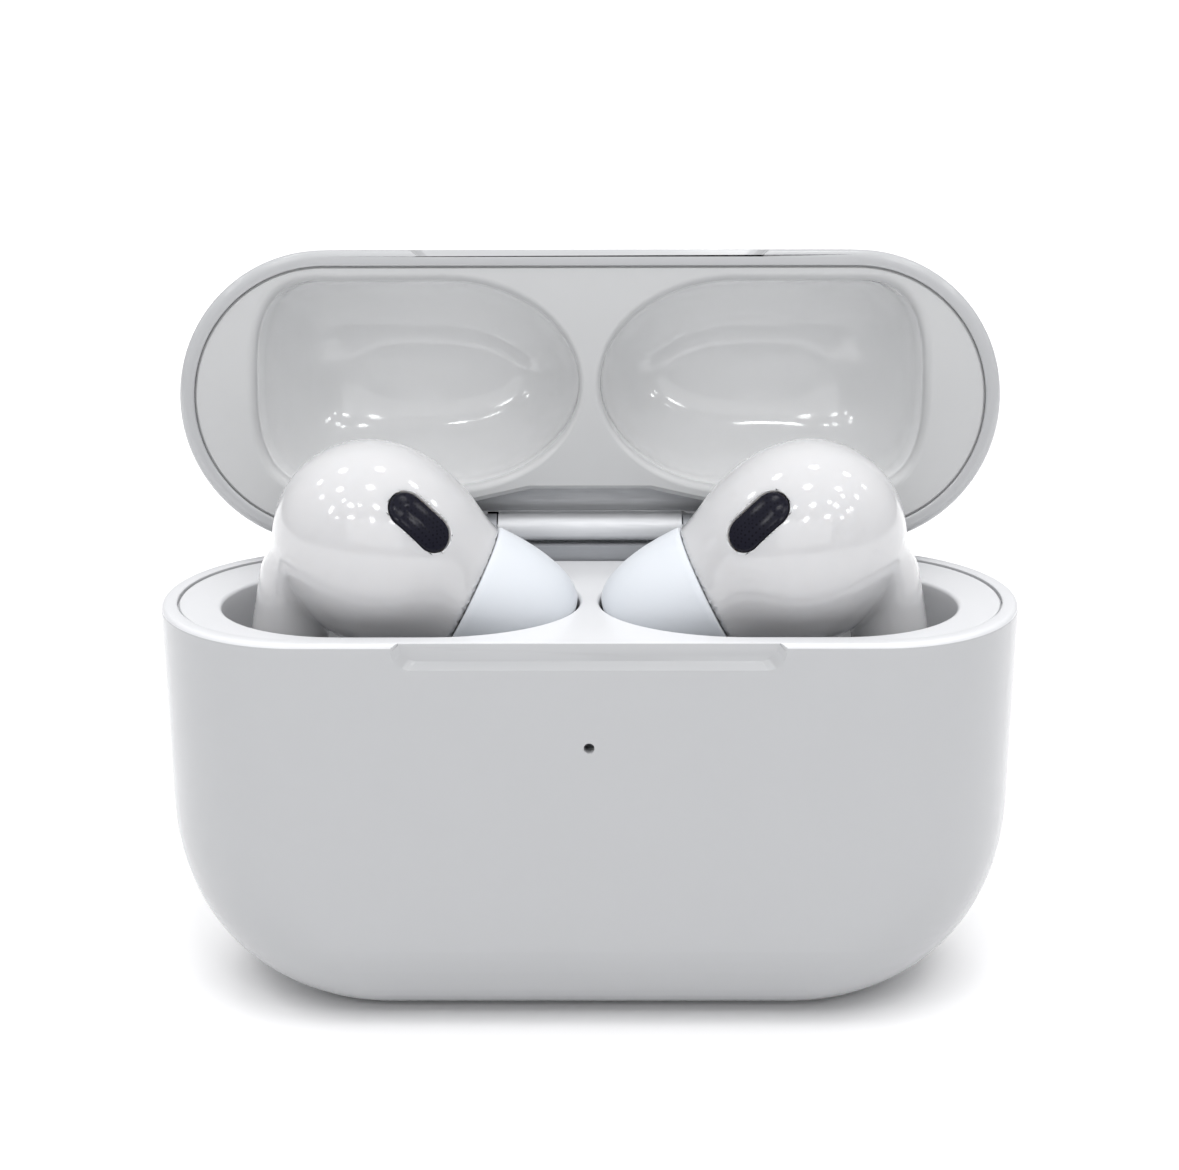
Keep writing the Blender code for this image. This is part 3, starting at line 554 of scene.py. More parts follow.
def metal(name, tone, rough, brush=(1.0, 20.0, 20.0), scale=500.0, **settings):
    """Metal brushed along X, with a little tarnish."""
    material, tree, shader = new_finish(name, **{"Metallic": 1.0, **settings})
    cloud = noise(tree, 250.0, 4.0)
    lines = noise(tree, scale, 3.0, brush)
    duller = tuple(channel * 0.86 for channel in tone)
    roughness = spread(tree, lines, rough * 0.7, rough * 1.3)
    feed(tree, shader, tinted(tree, cloud, duller, tone), roughness)
    bumped(tree, shader, (lines, 0.12, 0.02 * MM))
    return material


def make_vent_mesh():
    """Glossy black with a fine mesh of round holes."""
    material, tree, shader = new_finish("vent_mesh", Specular_IOR_Level=0.12)
    cells = placed(tree, "ShaderNodeTexVoronoi", Scale=4200.0, Randomness=0.15)
    holes = spread(tree, cells.outputs["Distance"], 0.0, 1.0, 0.2, 0.42)
    colour = tinted(tree, holes, (0.003, 0.003, 0.006), (0.008, 0.008, 0.014))
    feed(tree, shader, colour, spread(tree, noise(tree, 700.0), 0.1, 0.16))
    bumped(tree, shader, (holes, 0.05, 0.01 * MM))
    return material


def make_board():
    """Green solder mask over traces and pads."""
    material, tree, shader = new_finish("board_mask")
    layout = {"Scale": 900.0, "Mortar_Size": 0.06, "Brick_Width": 1.4, "Row_Height": 0.5}
    paths = placed(tree, "ShaderNodeTexBrick", **layout).outputs["Fac"]
    colour = tinted(tree, paths, (0.015, 0.11, 0.05), (0.05, 0.24, 0.11))
    feed(tree, shader, colour, spread(tree, noise(tree, 400.0, 4.0), 0.3, 0.5))
    bumped(tree, shader, (paths, 0.5, 0.03 * MM), (noise(tree, 3000.0), 0.1, 0.01 * MM))
    return material


def make_coil_wire():
    """Enamelled copper wound in rings about the coil's middle."""
    material, tree, shader = new_finish("coil_wire", Metallic=1.0)
    low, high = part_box("charging_coil")
    centred = placed(tree, "ShaderNodeMapping", Location=-(low + high) / 2.0).outputs["Vector"]
    rings = placed(tree, "ShaderNodeTexWave", centred, Scale=900.0)
    rings.wave_type = "RINGS"
    rings.rings_direction = "Y"
    wire = rings.outputs["Fac"]
    colour = tinted(tree, wire, (0.3, 0.11, 0.05), (0.78, 0.4, 0.2))
    feed(tree, shader, colour, spread(tree, noise(tree, 600.0, 3.0), 0.22, 0.42))
    bumped(tree, shader, (wire, 0.6, 0.08 * MM))
    return material


def make_finishes():
    """The finish of each of the record's material slots, of the liner and domes, and of the hinge."""
    return {
        "white_gloss": lacquered("gloss_white", WHITE, 0.2, 0.03, 0.06, 0.3, 0.08),
        "white_satin": lacquered("satin_white_and_lit_lip", SATIN_AND_LIT_LIP, 0.3, 0.05, 0.06, 0.25, 0.1),
        "bud_white": lacquered("bud_gloss", BUD_WHITE, 0.1, 0.02, 0.8, 0.6, 0.03),
        "silicone": moulded("silicone_skin", SILICONE, 0.42, 0.25, 0.25, **MATT_SKIN),
        "vent_black": make_vent_mesh(),
        "liner": lacquered("liner_white", LINER, 0.3, 0.05, 0.06, 0.25, 0.1),
        "polished": lacquered("polished_and_lit_white", POLISHED_AND_LIT, 0.1, 0.02, 0.06, 0.5, 0.05),
        "nickel": metal("lit_satin_nickel", LIT_NICKEL, 0.55, Metallic=0.4),
        "shaded_nickel": metal("shaded_nickel", SHADED_NICKEL, 0.45, Metallic=0.4),
        "steel": metal("brushed_steel", (0.62, 0.63, 0.65), 0.3),
        "gold": metal("contact_gold", (0.86, 0.62, 0.27), 0.22),
        "copper": make_coil_wire(),
        "magnet": metal("magnet_plate", (0.42, 0.42, 0.44), 0.4),
        "board_green": make_board(),
        "cell_wrap": moulded("cell_wrap", (0.09, 0.09, 0.1), 0.4, 0.3),
        "dark_plastic": moulded("dark_moulding", (0.035, 0.035, 0.04), 0.45, 0.2),
        "clear_plastic": moulded("guide_clear", (0.55, 0.57, 0.6), 0.3, Transmission_Weight=0.5),
    }


FINISHES = make_finishes()


def finish_of(node):
    """The finish of a CAD node's material slot."""
    return FINISHES[SLOT_OF[node]]


def dress_frame():
    """Gives every CAD node its finish."""
    for node, item in frame["nodes"].items():
        item.data.materials.clear()
        item.data.materials.append(finish_of(node))


# The base


def base_ring(z, offset=0.0, floor=0.0):
    """The base's outline at a height, pulled in by offset for the inner face."""
    length = HALF_LENGTH - offset - pulled_in(z - floor, shrunk(END_ROUND, offset))
    depth = HALF_DEPTH - offset - pulled_in(z - floor, shrunk(SIDE_ROUND, offset))
    return stadium_ring(length, depth, z)


def rim_rings(lip, rim_z, into):
    """A shell's rim: a rounded outer lip, a flat land and a small inner lip. Into is 1 where it faces up."""
    rings = []
    for pull, rise in lip_steps(7):
        rings.append(case_ring(lip[0] * pull, rim_z - into * lip[1] * (1.0 - rise)))
    for pull, rise in reversed(lip_steps(3)):
        rings.append(case_ring(WALL - INNER_LIP * pull, rim_z - into * INNER_LIP * (1.0 - rise)))
    return rings


def notch_outline(half_length, drop, y, rim_z, down):
    """The thumb notch's outline in a plane across Y; down is 1 in the base and -1 in the lid."""
    corner = min(NOTCH_CORNER, drop * 0.95)
    bottom = drop - corner
    points = [Vector((half_length, y, rim_z + down * 1.0 * MM))]
    for turn, centre_x in ((0.0, half_length - corner), (0.5, corner - half_length)):
        for i in range(9):
            angle = 0.5 * math.pi * i / 8 + turn * math.pi
            x = centre_x + corner * math.cos(angle)
            points.append(Vector((x, y, rim_z - down * (bottom + corner * math.sin(angle)))))
    points.append(Vector((-half_length, y, rim_z + down * 1.0 * MM)))
    return points


def thumb_notch(rim_z, down):
    """A shallow pocket whose edge slopes in from the front face."""
    rings = []
    for share in (-1.0, 1.0):
        half_length = NOTCH_FACE[0] + (NOTCH_BED[0] - NOTCH_FACE[0]) * share
        drop = NOTCH_FACE[1] + (NOTCH_BED[1] - NOTCH_FACE[1]) * share
        rings.append(notch_outline(half_length, drop, -HALF_DEPTH + NOTCH_DEPTH * share, rim_z, down))
    return loft(rings)


def inlet_ring(offset, z):
    """The inlet's outline at a height, pulled in by offset."""
    return stadium_ring(INLET_HALF[0] - offset, INLET_HALF[1] - offset, z)


def make_body_shell():
    """The base's shell with its rounded rim, thumb notch, light, button hole and inlet."""
    levels = edge_levels(END_ROUND, SIDE_ROUND)
    rings = [base_ring(z) for z in levels]
    rings += rim_rings(BASE_LIP, SEAM_Z, 1.0)
    rings += [base_ring(z * 0.9 + FLOOR, WALL, FLOOR) for z in reversed(levels)]
    item = new_object("shell", loft(rings))
    inlet = [inlet_ring(-GAP, z) for z in (-FLOOR, 2.0 * FLOOR)]
    through = (HALF_DEPTH - 2.0 * WALL, HALF_DEPTH + WALL)
    light = rod((0.0, 0.0, LIGHT_Z), (0, -1, 0), *through, LIGHT_RADIUS, 32)
    button = rod((0.0, 0.0, BUTTON_Z), (0, 1, 0), *through, BUTTON_RADIUS + GAP)
    carve(item, "DIFFERENCE", [loft(inlet), light, button, thumb_notch(SEAM_Z, 1.0)])
    soften_edges(item)
    # The rim's lip faces up and catches more light than the face below it; that light is painted in, by giving the
    # lip the brighter satin finish
    for name in ("white_gloss", "white_satin"):
        item.data.materials.append(FINISHES[name])
    for face in item.data.polygons:
        face.material_index = int(face.normal.z > LIT_LIP_FACES_UP and face.center.z > SEAM_Z - max(BASE_LIP))
    finish_piece(item, "body_shell")


def well_ring(z, grow=0.0):
    """The outline of the right well at a height, grown outwards."""
    share = max(0.0, (WELL_ROUND_Z - z - grow) / (WELL_ROUND_Z - WELL_FLOOR_Z))
    pull = WELL_FLOOR_PULL * share**WELL_POWER
    return oval_ring(
        WELL_INNER_X + pull - grow,
        WELL_OUTER_X - 0.3 * pull + grow,
        WELL_INNER_REACH - 0.5 * pull + grow,
        WELL_OUTER_REACH - 0.5 * pull + grow,
        WELL_HALF_DEPTH - 0.7 * pull + grow,
        WELL_Y,
        z,
    )


def bowl(grow, top_z):
    """The rings of a well from its floor up to a height."""
    count = 16
    bottom_z = WELL_FLOOR_Z - grow
    return [well_ring(bottom_z + (top_z - bottom_z) * (i / count) ** 1.4, grow) for i in range(count + 1)]


def well_hollow(plate_top):
    """A well with its rounded lip, reaching above the plate."""
    rings = bowl(0.0, plate_top - WELL_LIP)
    for pull, rise in lip_steps()[1:]:
        rings.append(well_ring(plate_top - WELL_LIP * (1.0 - rise), WELL_LIP * pull))
    rings.append(well_ring(plate_top + 1.0 * MM, WELL_LIP))
    return loft(rings)


def slot_shape(grow, bottom_z, top_z):
    """The deep slot for the earbud's stem."""
    half_x, half_y = SLOT_HALF[0] + grow, SLOT_HALF[1] + grow
    return loft([ellipse_ring(half_x, half_y, z, SLOT_X, WELL_Y) for z in (bottom_z, top_z)])


def make_tray():
    """The tray that the earbuds sit in: a plate, two bowls with rounded lips, and two stem slots."""
    plate_top = SEAM_Z - PLATE_SINK
    plate_bottom = plate_top - PLATE_THICKNESS
    inset = WALL + SKIN_GAP
    groove = WALL + GROOVE_GAP
    rings = []
    for offset, z in ((groove, plate_bottom), (groove, plate_top - GROOVE), (inset, plate_top - GROOVE)):
        rings.append(case_ring(offset, z))
    for pull, rise in lip_steps(3):
        rings.append(case_ring(inset + INNER_LIP * pull, plate_top - INNER_LIP * (1.0 - rise)))
    item = new_object("tray", loft(rings))
    added, removed = [], []
    for side in (1, -1):
        added.append(on_side(loft(bowl(WELL_WALL, plate_bottom + 0.5 * MM)), side))
        added.append(on_side(slot_shape(WELL_WALL, SLOT_BOTTOM_Z, plate_bottom + 0.3 * MM), side))
        removed.append(on_side(well_hollow(plate_top), side))
        removed.append(on_side(slot_shape(0.0, SLOT_BOTTOM_Z - GAP, SEAM_Z + 2.0 * GAP), side))
    leaf_slot = barrel_box(LEAF_FRONT_Y - GAP, plate_bottom - GAP, HALF_DEPTH, SEAM_Z + GAP, GAP)
    carve(item, "UNION", added)
    carve(item, "DIFFERENCE", removed + [leaf_slot])
    item.data.materials.append(FINISHES["white_satin"])
    finish_piece(item, "earbud_tray")


def make_inlet():
    """The inlet's drawn metal shell with a rolled mouth, and its tongue."""
    mouth_z = 0.1 * MM
    rings = [inlet_ring(INLET_WALL, INLET_HEIGHT - INLET_WALL)]
    for i in range(9):
        angle = math.pi * i / 8
        offset = INLET_WALL * 0.5 * (1.0 + math.cos(angle))
        rings.append(inlet_ring(offset, mouth_z + INLET_WALL * 0.5 * (1.0 - math.sin(angle))))
    rings.append(inlet_ring(0.0, INLET_HEIGHT))
    finish_piece(new_object("inlet", loft(rings)), "inlet_shell")
    half_x, half_y = 3.35 * MM, 0.35 * MM
    tongue = new_object("tongue", box((-half_x, -half_y, 1.3 * MM), (half_x, half_y, 6.2 * MM)))
    soften_edges(tongue, 0.12 * MM, 3)
    finish_piece(tongue, "inlet_tongue")


def make_button():
    """The set-up button: a faintly dished cap with a collar behind the wall."""
    face = HALF_DEPTH - 0.1 * MM
    collar = HALF_DEPTH - WALL - GAP
    collar_radius = BUTTON_RADIUS + 0.6 * MM
    lip = 0.18 * MM
    profile = [(collar - 0.5 * MM, collar_radius), (collar, collar_radius), (collar, BUTTON_RADIUS)]
    profile += [(face - lip * (1.0 - rise), BUTTON_RADIUS - lip * pull) for pull, rise in lip_steps()]
    for share in (0.85, 0.65, 0.4, 0.15):
        profile.append((face - 0.12 * MM * (1.0 - share**2), BUTTON_RADIUS * share))
    finish_piece(new_object("button", lathe(profile, (0.0, 0.0, BUTTON_Z), (0, 1, 0))), "setup_button")


def make_charging_pins():
    """The sprung pins, with rounded noses and a shoulder."""
    for node in sorted(name for name in SLOT_OF if name.endswith("charge_pin")):
        low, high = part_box(node)
        centre = (low + high) / 2.0 - SHIFT
        length = high.z - low.z
        nose = CHARGE_PIN_RADIUS
        profile = [(0.0, CHARGE_PIN_RADIUS * 0.8), (0.12 * MM, CHARGE_PIN_RADIUS)]
        for pull, rise in lip_steps(6):
            profile.append((length - nose * (1.0 - rise), CHARGE_PIN_RADIUS - nose * 0.85 * pull))
        pin = lathe(profile, (centre.x, centre.y, low.z), (0, 0, 1), 24)
        finish_piece(new_object("pin", pin), node)


# The hinge


def hinge_leaf(node, finish, plate, arm_heights, arm_depths, spans, place, extra):
    """A leaf of the hinge: a plate, with an arm and a knuckle for each span along the pin."""
    item = new_object(node, plate)
    added = [extra]
    for low_x, high_x in spans:
        added.append(box((low_x, arm_depths[0], arm_heights[0]), (high_x, arm_depths[1], arm_heights[1])))
        added.append(rod((0.0, HINGE_AT.y, HINGE_AT.z), (1, 0, 0), low_x, high_x, BARREL_RADIUS))
    carve(item, "UNION", added)
    reach = BARREL_HALF_LENGTH + GAP
    bore = rod((0.0, HINGE_AT.y, HINGE_AT.z), (1, 0, 0), -reach, reach, PIN_RADIUS + PIN_CLEARANCE)
    carve(item, "DIFFERENCE", [bore])
    soften_edges(item, 0.06 * MM)
    item.data.materials.append(FINISHES[finish])
    finish_piece(item, node, place)


def bracket(foot_z):
    """The lid's bracket: a sheet that bends from the lid's back wall towards the front, over the arch."""
    bend, sheet = 0.7 * MM, 0.4 * MM
    wide, narrow = BARREL_HALF_LENGTH + 0.9 * MM, 4.2 * MM
    centre_y = LEAF_FRONT_Y + 0.1 * MM - bend
    path = []
    for i in range(13):
        angle = 0.5 * math.pi * i / 12
        path.append((0.0, math.cos(angle), math.sin(angle), wide))
    path += [(0.75 * MM, 0.0, 1.0, wide), (1.75 * MM, 0.0, 1.0, narrow)]
    rings = []
    for forward, out, up, half in path:
        near_y, far_y = (centre_y - forward + reach * out for reach in (bend, bend + sheet))
        near_z, far_z = (foot_z + reach * up for reach in (bend, bend + sheet))
        near, far = Vector((0.0, near_y, near_z)), Vector((0.0, far_y, far_z))
        side = Vector((half, 0.0, 0.0))
        rings.append([near - side, near + side, far + side, far - side])
    return loft(rings)


def make_hinge():
    """Both leaves and the pin."""
    start = MIDDLE_KNUCKLE + KNUCKLE_GAP
    body_back = LEAF_FRONT_Y + LEAF_THICKNESS
    body_plate = barrel_box(LEAF_FRONT_Y, LEAF_FOOT_Z, body_back, SEAM_Z + BODY_LEAF_RISE)
    body_spans = ((-BARREL_HALF_LENGTH, -start), (start, BARREL_HALF_LENGTH))
    body_depths = (LEAF_FRONT_Y + 0.1 * MM, body_back - 0.05 * MM)
    body_heights = (SEAM_Z - 1.0 * MM, HINGE_AT.z)
    shelf = barrel_box(body_back - 0.1 * MM, SEAM_Z + SHELF_LOW, SHELF_BACK_Y, SEAM_Z + SHELF_HIGH)
    body_shape = (body_plate, body_heights, body_depths, body_spans)
    # The body's leaf and its shelf take the darker copy of the hinge metal: painted shade
    hinge_leaf("hinge_body_leaf", "shaded_nickel", *body_shape, TO_ROW, shelf)
    lid_front = LEAF_FRONT_Y + 0.1 * MM
    lid_back = lid_front + LEAF_THICKNESS - 0.1 * MM
    clear_z = HINGE_AT.z + BARREL_RADIUS + GAP
    lid_plate = barrel_box(lid_front, clear_z, lid_back, HINGE_AT.z + LID_LEAF_RISE)
    lid_depths = (lid_front + 0.05 * MM, lid_back - 0.05 * MM)
    lid_spans = ((-MIDDLE_KNUCKLE, MIDDLE_KNUCKLE),)
    lid_heights = (HINGE_AT.z, clear_z + 1.0 * MM)
    lid_shape = (lid_plate, lid_heights, lid_depths, lid_spans)
    # The lid's leaf and its bracket take the lighter copy of the hinge metal: painted light
    hinge_leaf("hinge_lid_leaf", "nickel", *lid_shape, TO_OPEN, bracket(clear_z))
    end = BARREL_HALF_LENGTH - 0.2 * MM
    chamfer = 0.1 * MM
    profile = [(-end, PIN_RADIUS - chamfer), (chamfer - end, PIN_RADIUS)]
    profile += [(end - chamfer, PIN_RADIUS), (end, PIN_RADIUS - chamfer)]
    finish_piece(new_object("pin", lathe(profile, HINGE_AT, (1, 0, 0))), "hinge_pin")


# The lid


def lid_ring(below_top, offset=0.0):
    """The lid's outline at a depth below the top of that face."""
    length = HALF_LENGTH - offset - pulled_in(below_top, shrunk(LID_END_ROUND, offset))
    depth = HALF_DEPTH - offset - pulled_in(below_top, shrunk(LID_SIDE_ROUND, offset))
    return stadium_ring(length, depth, TOP_Z - offset - below_top)


def make_lid_shell():
    """The lid's shell with its rounded rim, thumb notch and the notch for the hinge's barrel."""
    rim_z = SEAM_Z + SEAM_GAP
    levels = edge_levels(LID_END_ROUND, LID_SIDE_ROUND)
    rings = [lid_ring(below) for below in levels]
    rings += rim_rings(LID_LIP, rim_z, -1.0)
    rings += [lid_ring(below * 0.94, WALL) for below in reversed(levels)]
    item = new_object("lid", loft(rings))
    front_y, top_z = HINGE_AT.y - 2.0 * BARREL_RADIUS, HINGE_AT.z + BARREL_RADIUS + GAP
    barrel = barrel_box(front_y, rim_z - GAP, HALF_DEPTH + GAP, top_z, GAP)
    carve(item, "DIFFERENCE", [barrel, thumb_notch(rim_z, -1.0)])
    soften_edges(item)
    finish_piece(item, "lid_shell", TO_OPEN)


def dome_ring(above_rim, grow=0.0, lips=0.0):
    """The outline of the right dome at a height above the lid's rim, opened by a share of its lips."""
    pull = pulled_in(DOME_HEIGHT - above_rim, DOME_ROUND)
    inner_lip, outer_lip, side_lip = (lips * lip for lip in DOME_LIPS)
    return oval_ring(
        WELL_INNER_X + 0.05 * MM + pull - grow - inner_lip,
        DOME_OUTER_X - 1.25 * pull + grow + outer_lip,
        WELL_INNER_REACH - 0.5 * pull + grow,
        DOME_OUTER_REACH + grow,
        WELL_HALF_DEPTH - pull + grow + side_lip,
        WELL_Y,
        SEAM_Z + SEAM_GAP + above_rim + grow,
        DOME_POWER,
    )


def dome_levels(start):
    """Heights that sample a dome from start to its top."""
    levels = [DOME_HEIGHT - level for level in rounding_levels(DOME_ROUND, 20)]
    return [start] + sorted(level for level in levels if level > start)


def dome_hollow(face):
    """A dome with its rounded lip, reaching below the liner's face."""
    lip_height = 0.7 * MM
    rings = [dome_ring(face - 1.0 * MM, 0.0, 1.0)]
    for pull, rise in reversed(lip_steps(7)):
        rings.append(dome_ring(face + lip_height * (1.0 - rise), 0.0, pull))
    rings += [dome_ring(level) for level in dome_levels(face + 1.5 * MM)]
    shape = loft(rings)
    # Faces past the lip take the second finish, the domes' lighter one: painted light in the recess
    for side in shape.faces:
        side.material_index = int(side.calc_center_median().z > SEAM_Z + SEAM_GAP + face + lip_height)
    return shape


def arch_outline(grow, z):
    """The hinge's opening in the liner, narrower away from the hinge."""
    front_y = HALF_DEPTH - 4.2 * MM - grow
    middle_y = HALF_DEPTH - 3.2 * MM - grow
    wide, narrow = BARREL_HALF_LENGTH + 1.0 * MM + grow, 4.3 * MM + grow
    corners = [(-wide, HALF_DEPTH), (-wide, middle_y), (-narrow, front_y)]
    corners += [(-x, y) for x, y in reversed(corners)]
    return [Vector((x, y, z)) for x, y in corners]


def make_lid_liner():
    """The lid's liner: a flat land, two smooth domes with rounded lips, and the hinge's arch."""
    rim_z = SEAM_Z + SEAM_GAP
    face = PLATE_SINK
    top = face + 1.0 * MM
    inset = WALL + SKIN_GAP
    rings = []
    for pull, rise in reversed(lip_steps(3)):
        rings.append(case_ring(inset + INNER_LIP * pull, rim_z + face + INNER_LIP * (1.0 - rise)))
    groove = WALL + GROOVE_GAP
    for offset, z in ((inset, rim_z + face + GROOVE), (groove, rim_z + face + GROOVE), (groove, rim_z + top)):
        rings.append(case_ring(offset, z))
    item = new_object("liner", loft(rings))
    outer_levels = dome_levels(0.3 * MM)
    added = [on_side(loft([dome_ring(level, WELL_WALL) for level in outer_levels]), side) for side in (1, -1)]
    carve(item, "UNION", added)
    bevel = 0.25 * MM
    arch_levels = ((-1.0 * MM, 1.0 * MM + bevel), (face, bevel), (face + bevel, 0.0), (12.0 * MM, 0.0))
    arch = loft([arch_outline(grow, rim_z + level) for level, grow in arch_levels])
    item.data.materials.append(FINISHES["liner"])
    hollows = [on_side(dome_hollow(face), side) for side in (1, -1)]
    # The domes' faces keep the lighter finish set in dome_hollow: painted light
    carve(item, "DIFFERENCE", hollows, (FINISHES["liner"], FINISHES["polished"]))
    carve(item, "DIFFERENCE", [arch])
    finish_piece(item, "lid_liner", TO_OPEN)


# The earbuds, laid out on the right


def sloped(slope):
    """An axis that points down and towards the middle, and the upward direction across it."""
    return Vector((-math.cos(slope), 0.0, -math.sin(slope))), Vector((-math.sin(slope), 0.0, math.cos(slope)))


TIP_AXIS, HEAD_UP = sloped(TIP_SLOPE)
HEAD_AT = Vector((HEAD_X, WELL_Y, HEAD_Z))
TIP_BASE = HEAD_AT + TIP_AXIS * TIP_START - HEAD_UP * TIP_DROP
HOLLOW_AT = HEAD_AT + Vector((-0.15 * MM, 0.0, -0.7 * MM))


def stem_x(z):
    """The stem's middle at a height: it leans outward towards its foot."""
    return STEM_TOP_X + (SEAM_Z - z) * STEM_LEAN


def oval_distance(offsets, halves):
    """About how far points are outside an ellipse or ellipsoid."""
    first = np.linalg.norm(offsets / halves, axis=1)
    second = np.linalg.norm(offsets / halves**2, axis=1)
    return first * (first - 1.0) / np.maximum(second, 1.0e-9)


def smooth_min(first, second, width):
    """The smaller of two distances, with a rounded corner between them."""
    near = np.maximum(width - np.abs(first - second), 0.0) / width
    return np.minimum(first, second) - near * near * width / 4.0


def local_offsets(points, centre, slope):
    """Points as seen from a centre: along a sloping axis, sideways, and up across the axis."""
    axis, up = sloped(slope)
    return (points - np.array(centre)) @ np.array([axis, (0.0, 1.0, 0.0), up]).T


def head_field(points):
    """About how far points are outside the head, where its ellipsoid and its egg overlap."""
    oval = oval_distance(local_offsets(points, HEAD_AT, TIP_SLOPE), np.array(HEAD_HALF))
    offsets = local_offsets(points, EGG_AT, EGG_SLOPE)
    share = 1.0 - EGG_TAPER * offsets[:, :1]
    offsets = np.hstack([offsets[:, :1], offsets[:, 1:] / share])
    egg = oval_distance(offsets, np.array(EGG_HALF))
    head = -smooth_min(-oval, -egg, 0.8 * MM)
    offsets = local_offsets(points, TIP_BASE, TIP_SLOPE)
    collar = np.maximum(oval_distance(offsets[:, 1:], np.array(COLLAR_HALF)), -3.0 * MM - offsets[:, 0])
    seat = offsets[:, 0] - (TIP_RIM - TIP_SEAT_GAP)
    return -smooth_min(-seat, -smooth_min(head, collar, 1.2 * MM), 0.12 * MM)


def bud_field(points):
    """About how far points are outside the earbud's head and stem, blended into one."""
    x, y, z = points.T
    lean_in = NECK_LEAN * np.maximum(z - NECK_Z, 0.0)
    across = np.stack([x - stem_x(z) + lean_in, y - WELL_Y], axis=1)
    stem = oval_distance(across, np.array(STEM_HALF))
    stem = -smooth_min(-stem, STEM_TOP_Z - z, 2.4 * MM)
    foot = CAP_TOP_Z + GAP - z
    return -smooth_min(-smooth_min(head_field(points), stem, NECK_BLEND), -foot, 0.25 * MM)


def field_slope(field, points, step=0.02 * MM):
    """The way in which a field rises at points."""
    slope = np.empty_like(points)
    for axis in range(3):
        shift = np.zeros(3)
        shift[axis] = step
        slope[:, axis] = (field(points + shift) - field(points - shift)) / (2.0 * step)
    return slope


def onto_field(points):
    """Points moved to the blended surface."""
    for _ in range(4):
        slope = field_slope(bud_field, points)
        points = points - slope * (bud_field(points) / np.maximum((slope**2).sum(1), 0.05))[:, None]
    return points


def relaxed(points, edges):
    """Points moved to the middle of their neighbours."""
    total = np.zeros_like(points)
    count = np.zeros(len(points))
    for first, second in (edges.T, edges.T[::-1]):
        np.add.at(total, first, points[second])
        np.add.at(count, first, 1.0)
    return total / count[:, None]


def ellipsoid(centre, slope, halves, columns, rows):
    """An ellipsoid on a sloping axis."""
    axis, up = sloped(slope)
    shape = bmesh.new()
    bmesh.ops.create_uvsphere(shape, u_segments=columns, v_segments=rows, radius=1.0)
    for vert in shape.verts:
        long, wide, tall = (share * half for share, half in zip(vert.co, halves))
        vert.co = centre + axis * long + Vector((0.0, wide, 0.0)) + up * tall
    shape.normal_update()
    bmesh.ops.recalc_face_normals(shape, faces=shape.faces)
    return shape


def stem_ring(inset, z):
    """The stem's outline at a height, pulled in by inset."""
    return ellipse_ring(STEM_HALF[0] - inset, STEM_HALF[1] - inset, z, stem_x(z), WELL_Y)


def stem_shape(inset, low_z, high_z):
    """The stem between two heights, pulled in by inset."""
    return loft([stem_ring(inset, z) for z in (low_z, high_z)])


def bud_skin():
    """The outer skin of the head and stem: one even mesh, fitted to the blended surface."""
    item = new_object("skin", ellipsoid(HEAD_AT, TIP_SLOPE, HEAD_HALF, 64, 32))
    carve(item, "UNION", [stem_shape(0.0, CAP_TOP_Z + GAP, STEM_TOP_Z)])
    modifier = item.modifiers.new("even", "REMESH")
    modifier.mode = "VOXEL"
    modifier.voxel_size = SKIN_VOXEL
    settle(item)
    mesh = item.data
    points = np.array([vert.co for vert in mesh.vertices], float)
    edges = np.array([edge.vertices for edge in mesh.edges])
    points = onto_field(points)
    for _ in range(6):
        points = onto_field(relaxed(points, edges))
    mesh.vertices.foreach_set("co", points.ravel())
    mesh.update()
    return item


def on_head(points, direction):
    """Points moved along a direction until they meet the head's skin."""
    way = np.array(direction)
    for _ in range(8):
        rise = field_slope(head_field, points) @ way
        points = points - way * (head_field(points) / np.maximum(rise, 0.3))[:, None]
    return points


def head_normal(point):
    """Straight out of the head at a point on it."""
    return Vector(field_slope(head_field, np.array([point]))[0]).normalized()


def vent_ring(length, width, rise, skin):
    """The vent's outline, either on the skin and raised by rise, or at a level straight out of the head."""
    normal = head_normal(VENT_AT)
    slant = Vector((-math.cos(VENT_SLANT), 0.0, -math.sin(VENT_SLANT)))
    long_way = (slant - normal * slant.dot(normal)).normalized()
    short_way = normal.cross(long_way)
    flats = stadium_ring(length / 2.0, width / 2.0, 0.0)
    points = np.array([VENT_AT + long_way * flat.x + short_way * flat.y for flat in flats])
    if skin:
        points = on_head(points, normal)
    return [Vector(point) + normal * rise for point in points]


def make_vent(side, name):
    """The black vent: an oval that follows the head, with a rounded edge."""
    length, width = VENT_SIZE[0] - 0.1 * MM, VENT_SIZE[1] - 0.1 * MM
    lip = 0.12 * MM
    sink = -0.06 * MM
    rings = [vent_ring(length, width, -0.7 * MM, True)]
    for pull, rise in lip_steps():
        shrink = 2.0 * lip * pull
        rings.append(vent_ring(length - shrink, width - shrink, sink - lip * (1.0 - rise), True))
    inner_width = width - 2.0 * lip
    for share in (0.8, 0.55, 0.3, 0.08):
        shrink = inner_width * (1.0 - share)
        rings.append(vent_ring(length - 2.0 * lip - shrink, inner_width - shrink, sink, True))
    item = new_object("vent", on_side(loft(rings), side))
    finish_piece(item, f"{name}_bud_vent", weighted=False)


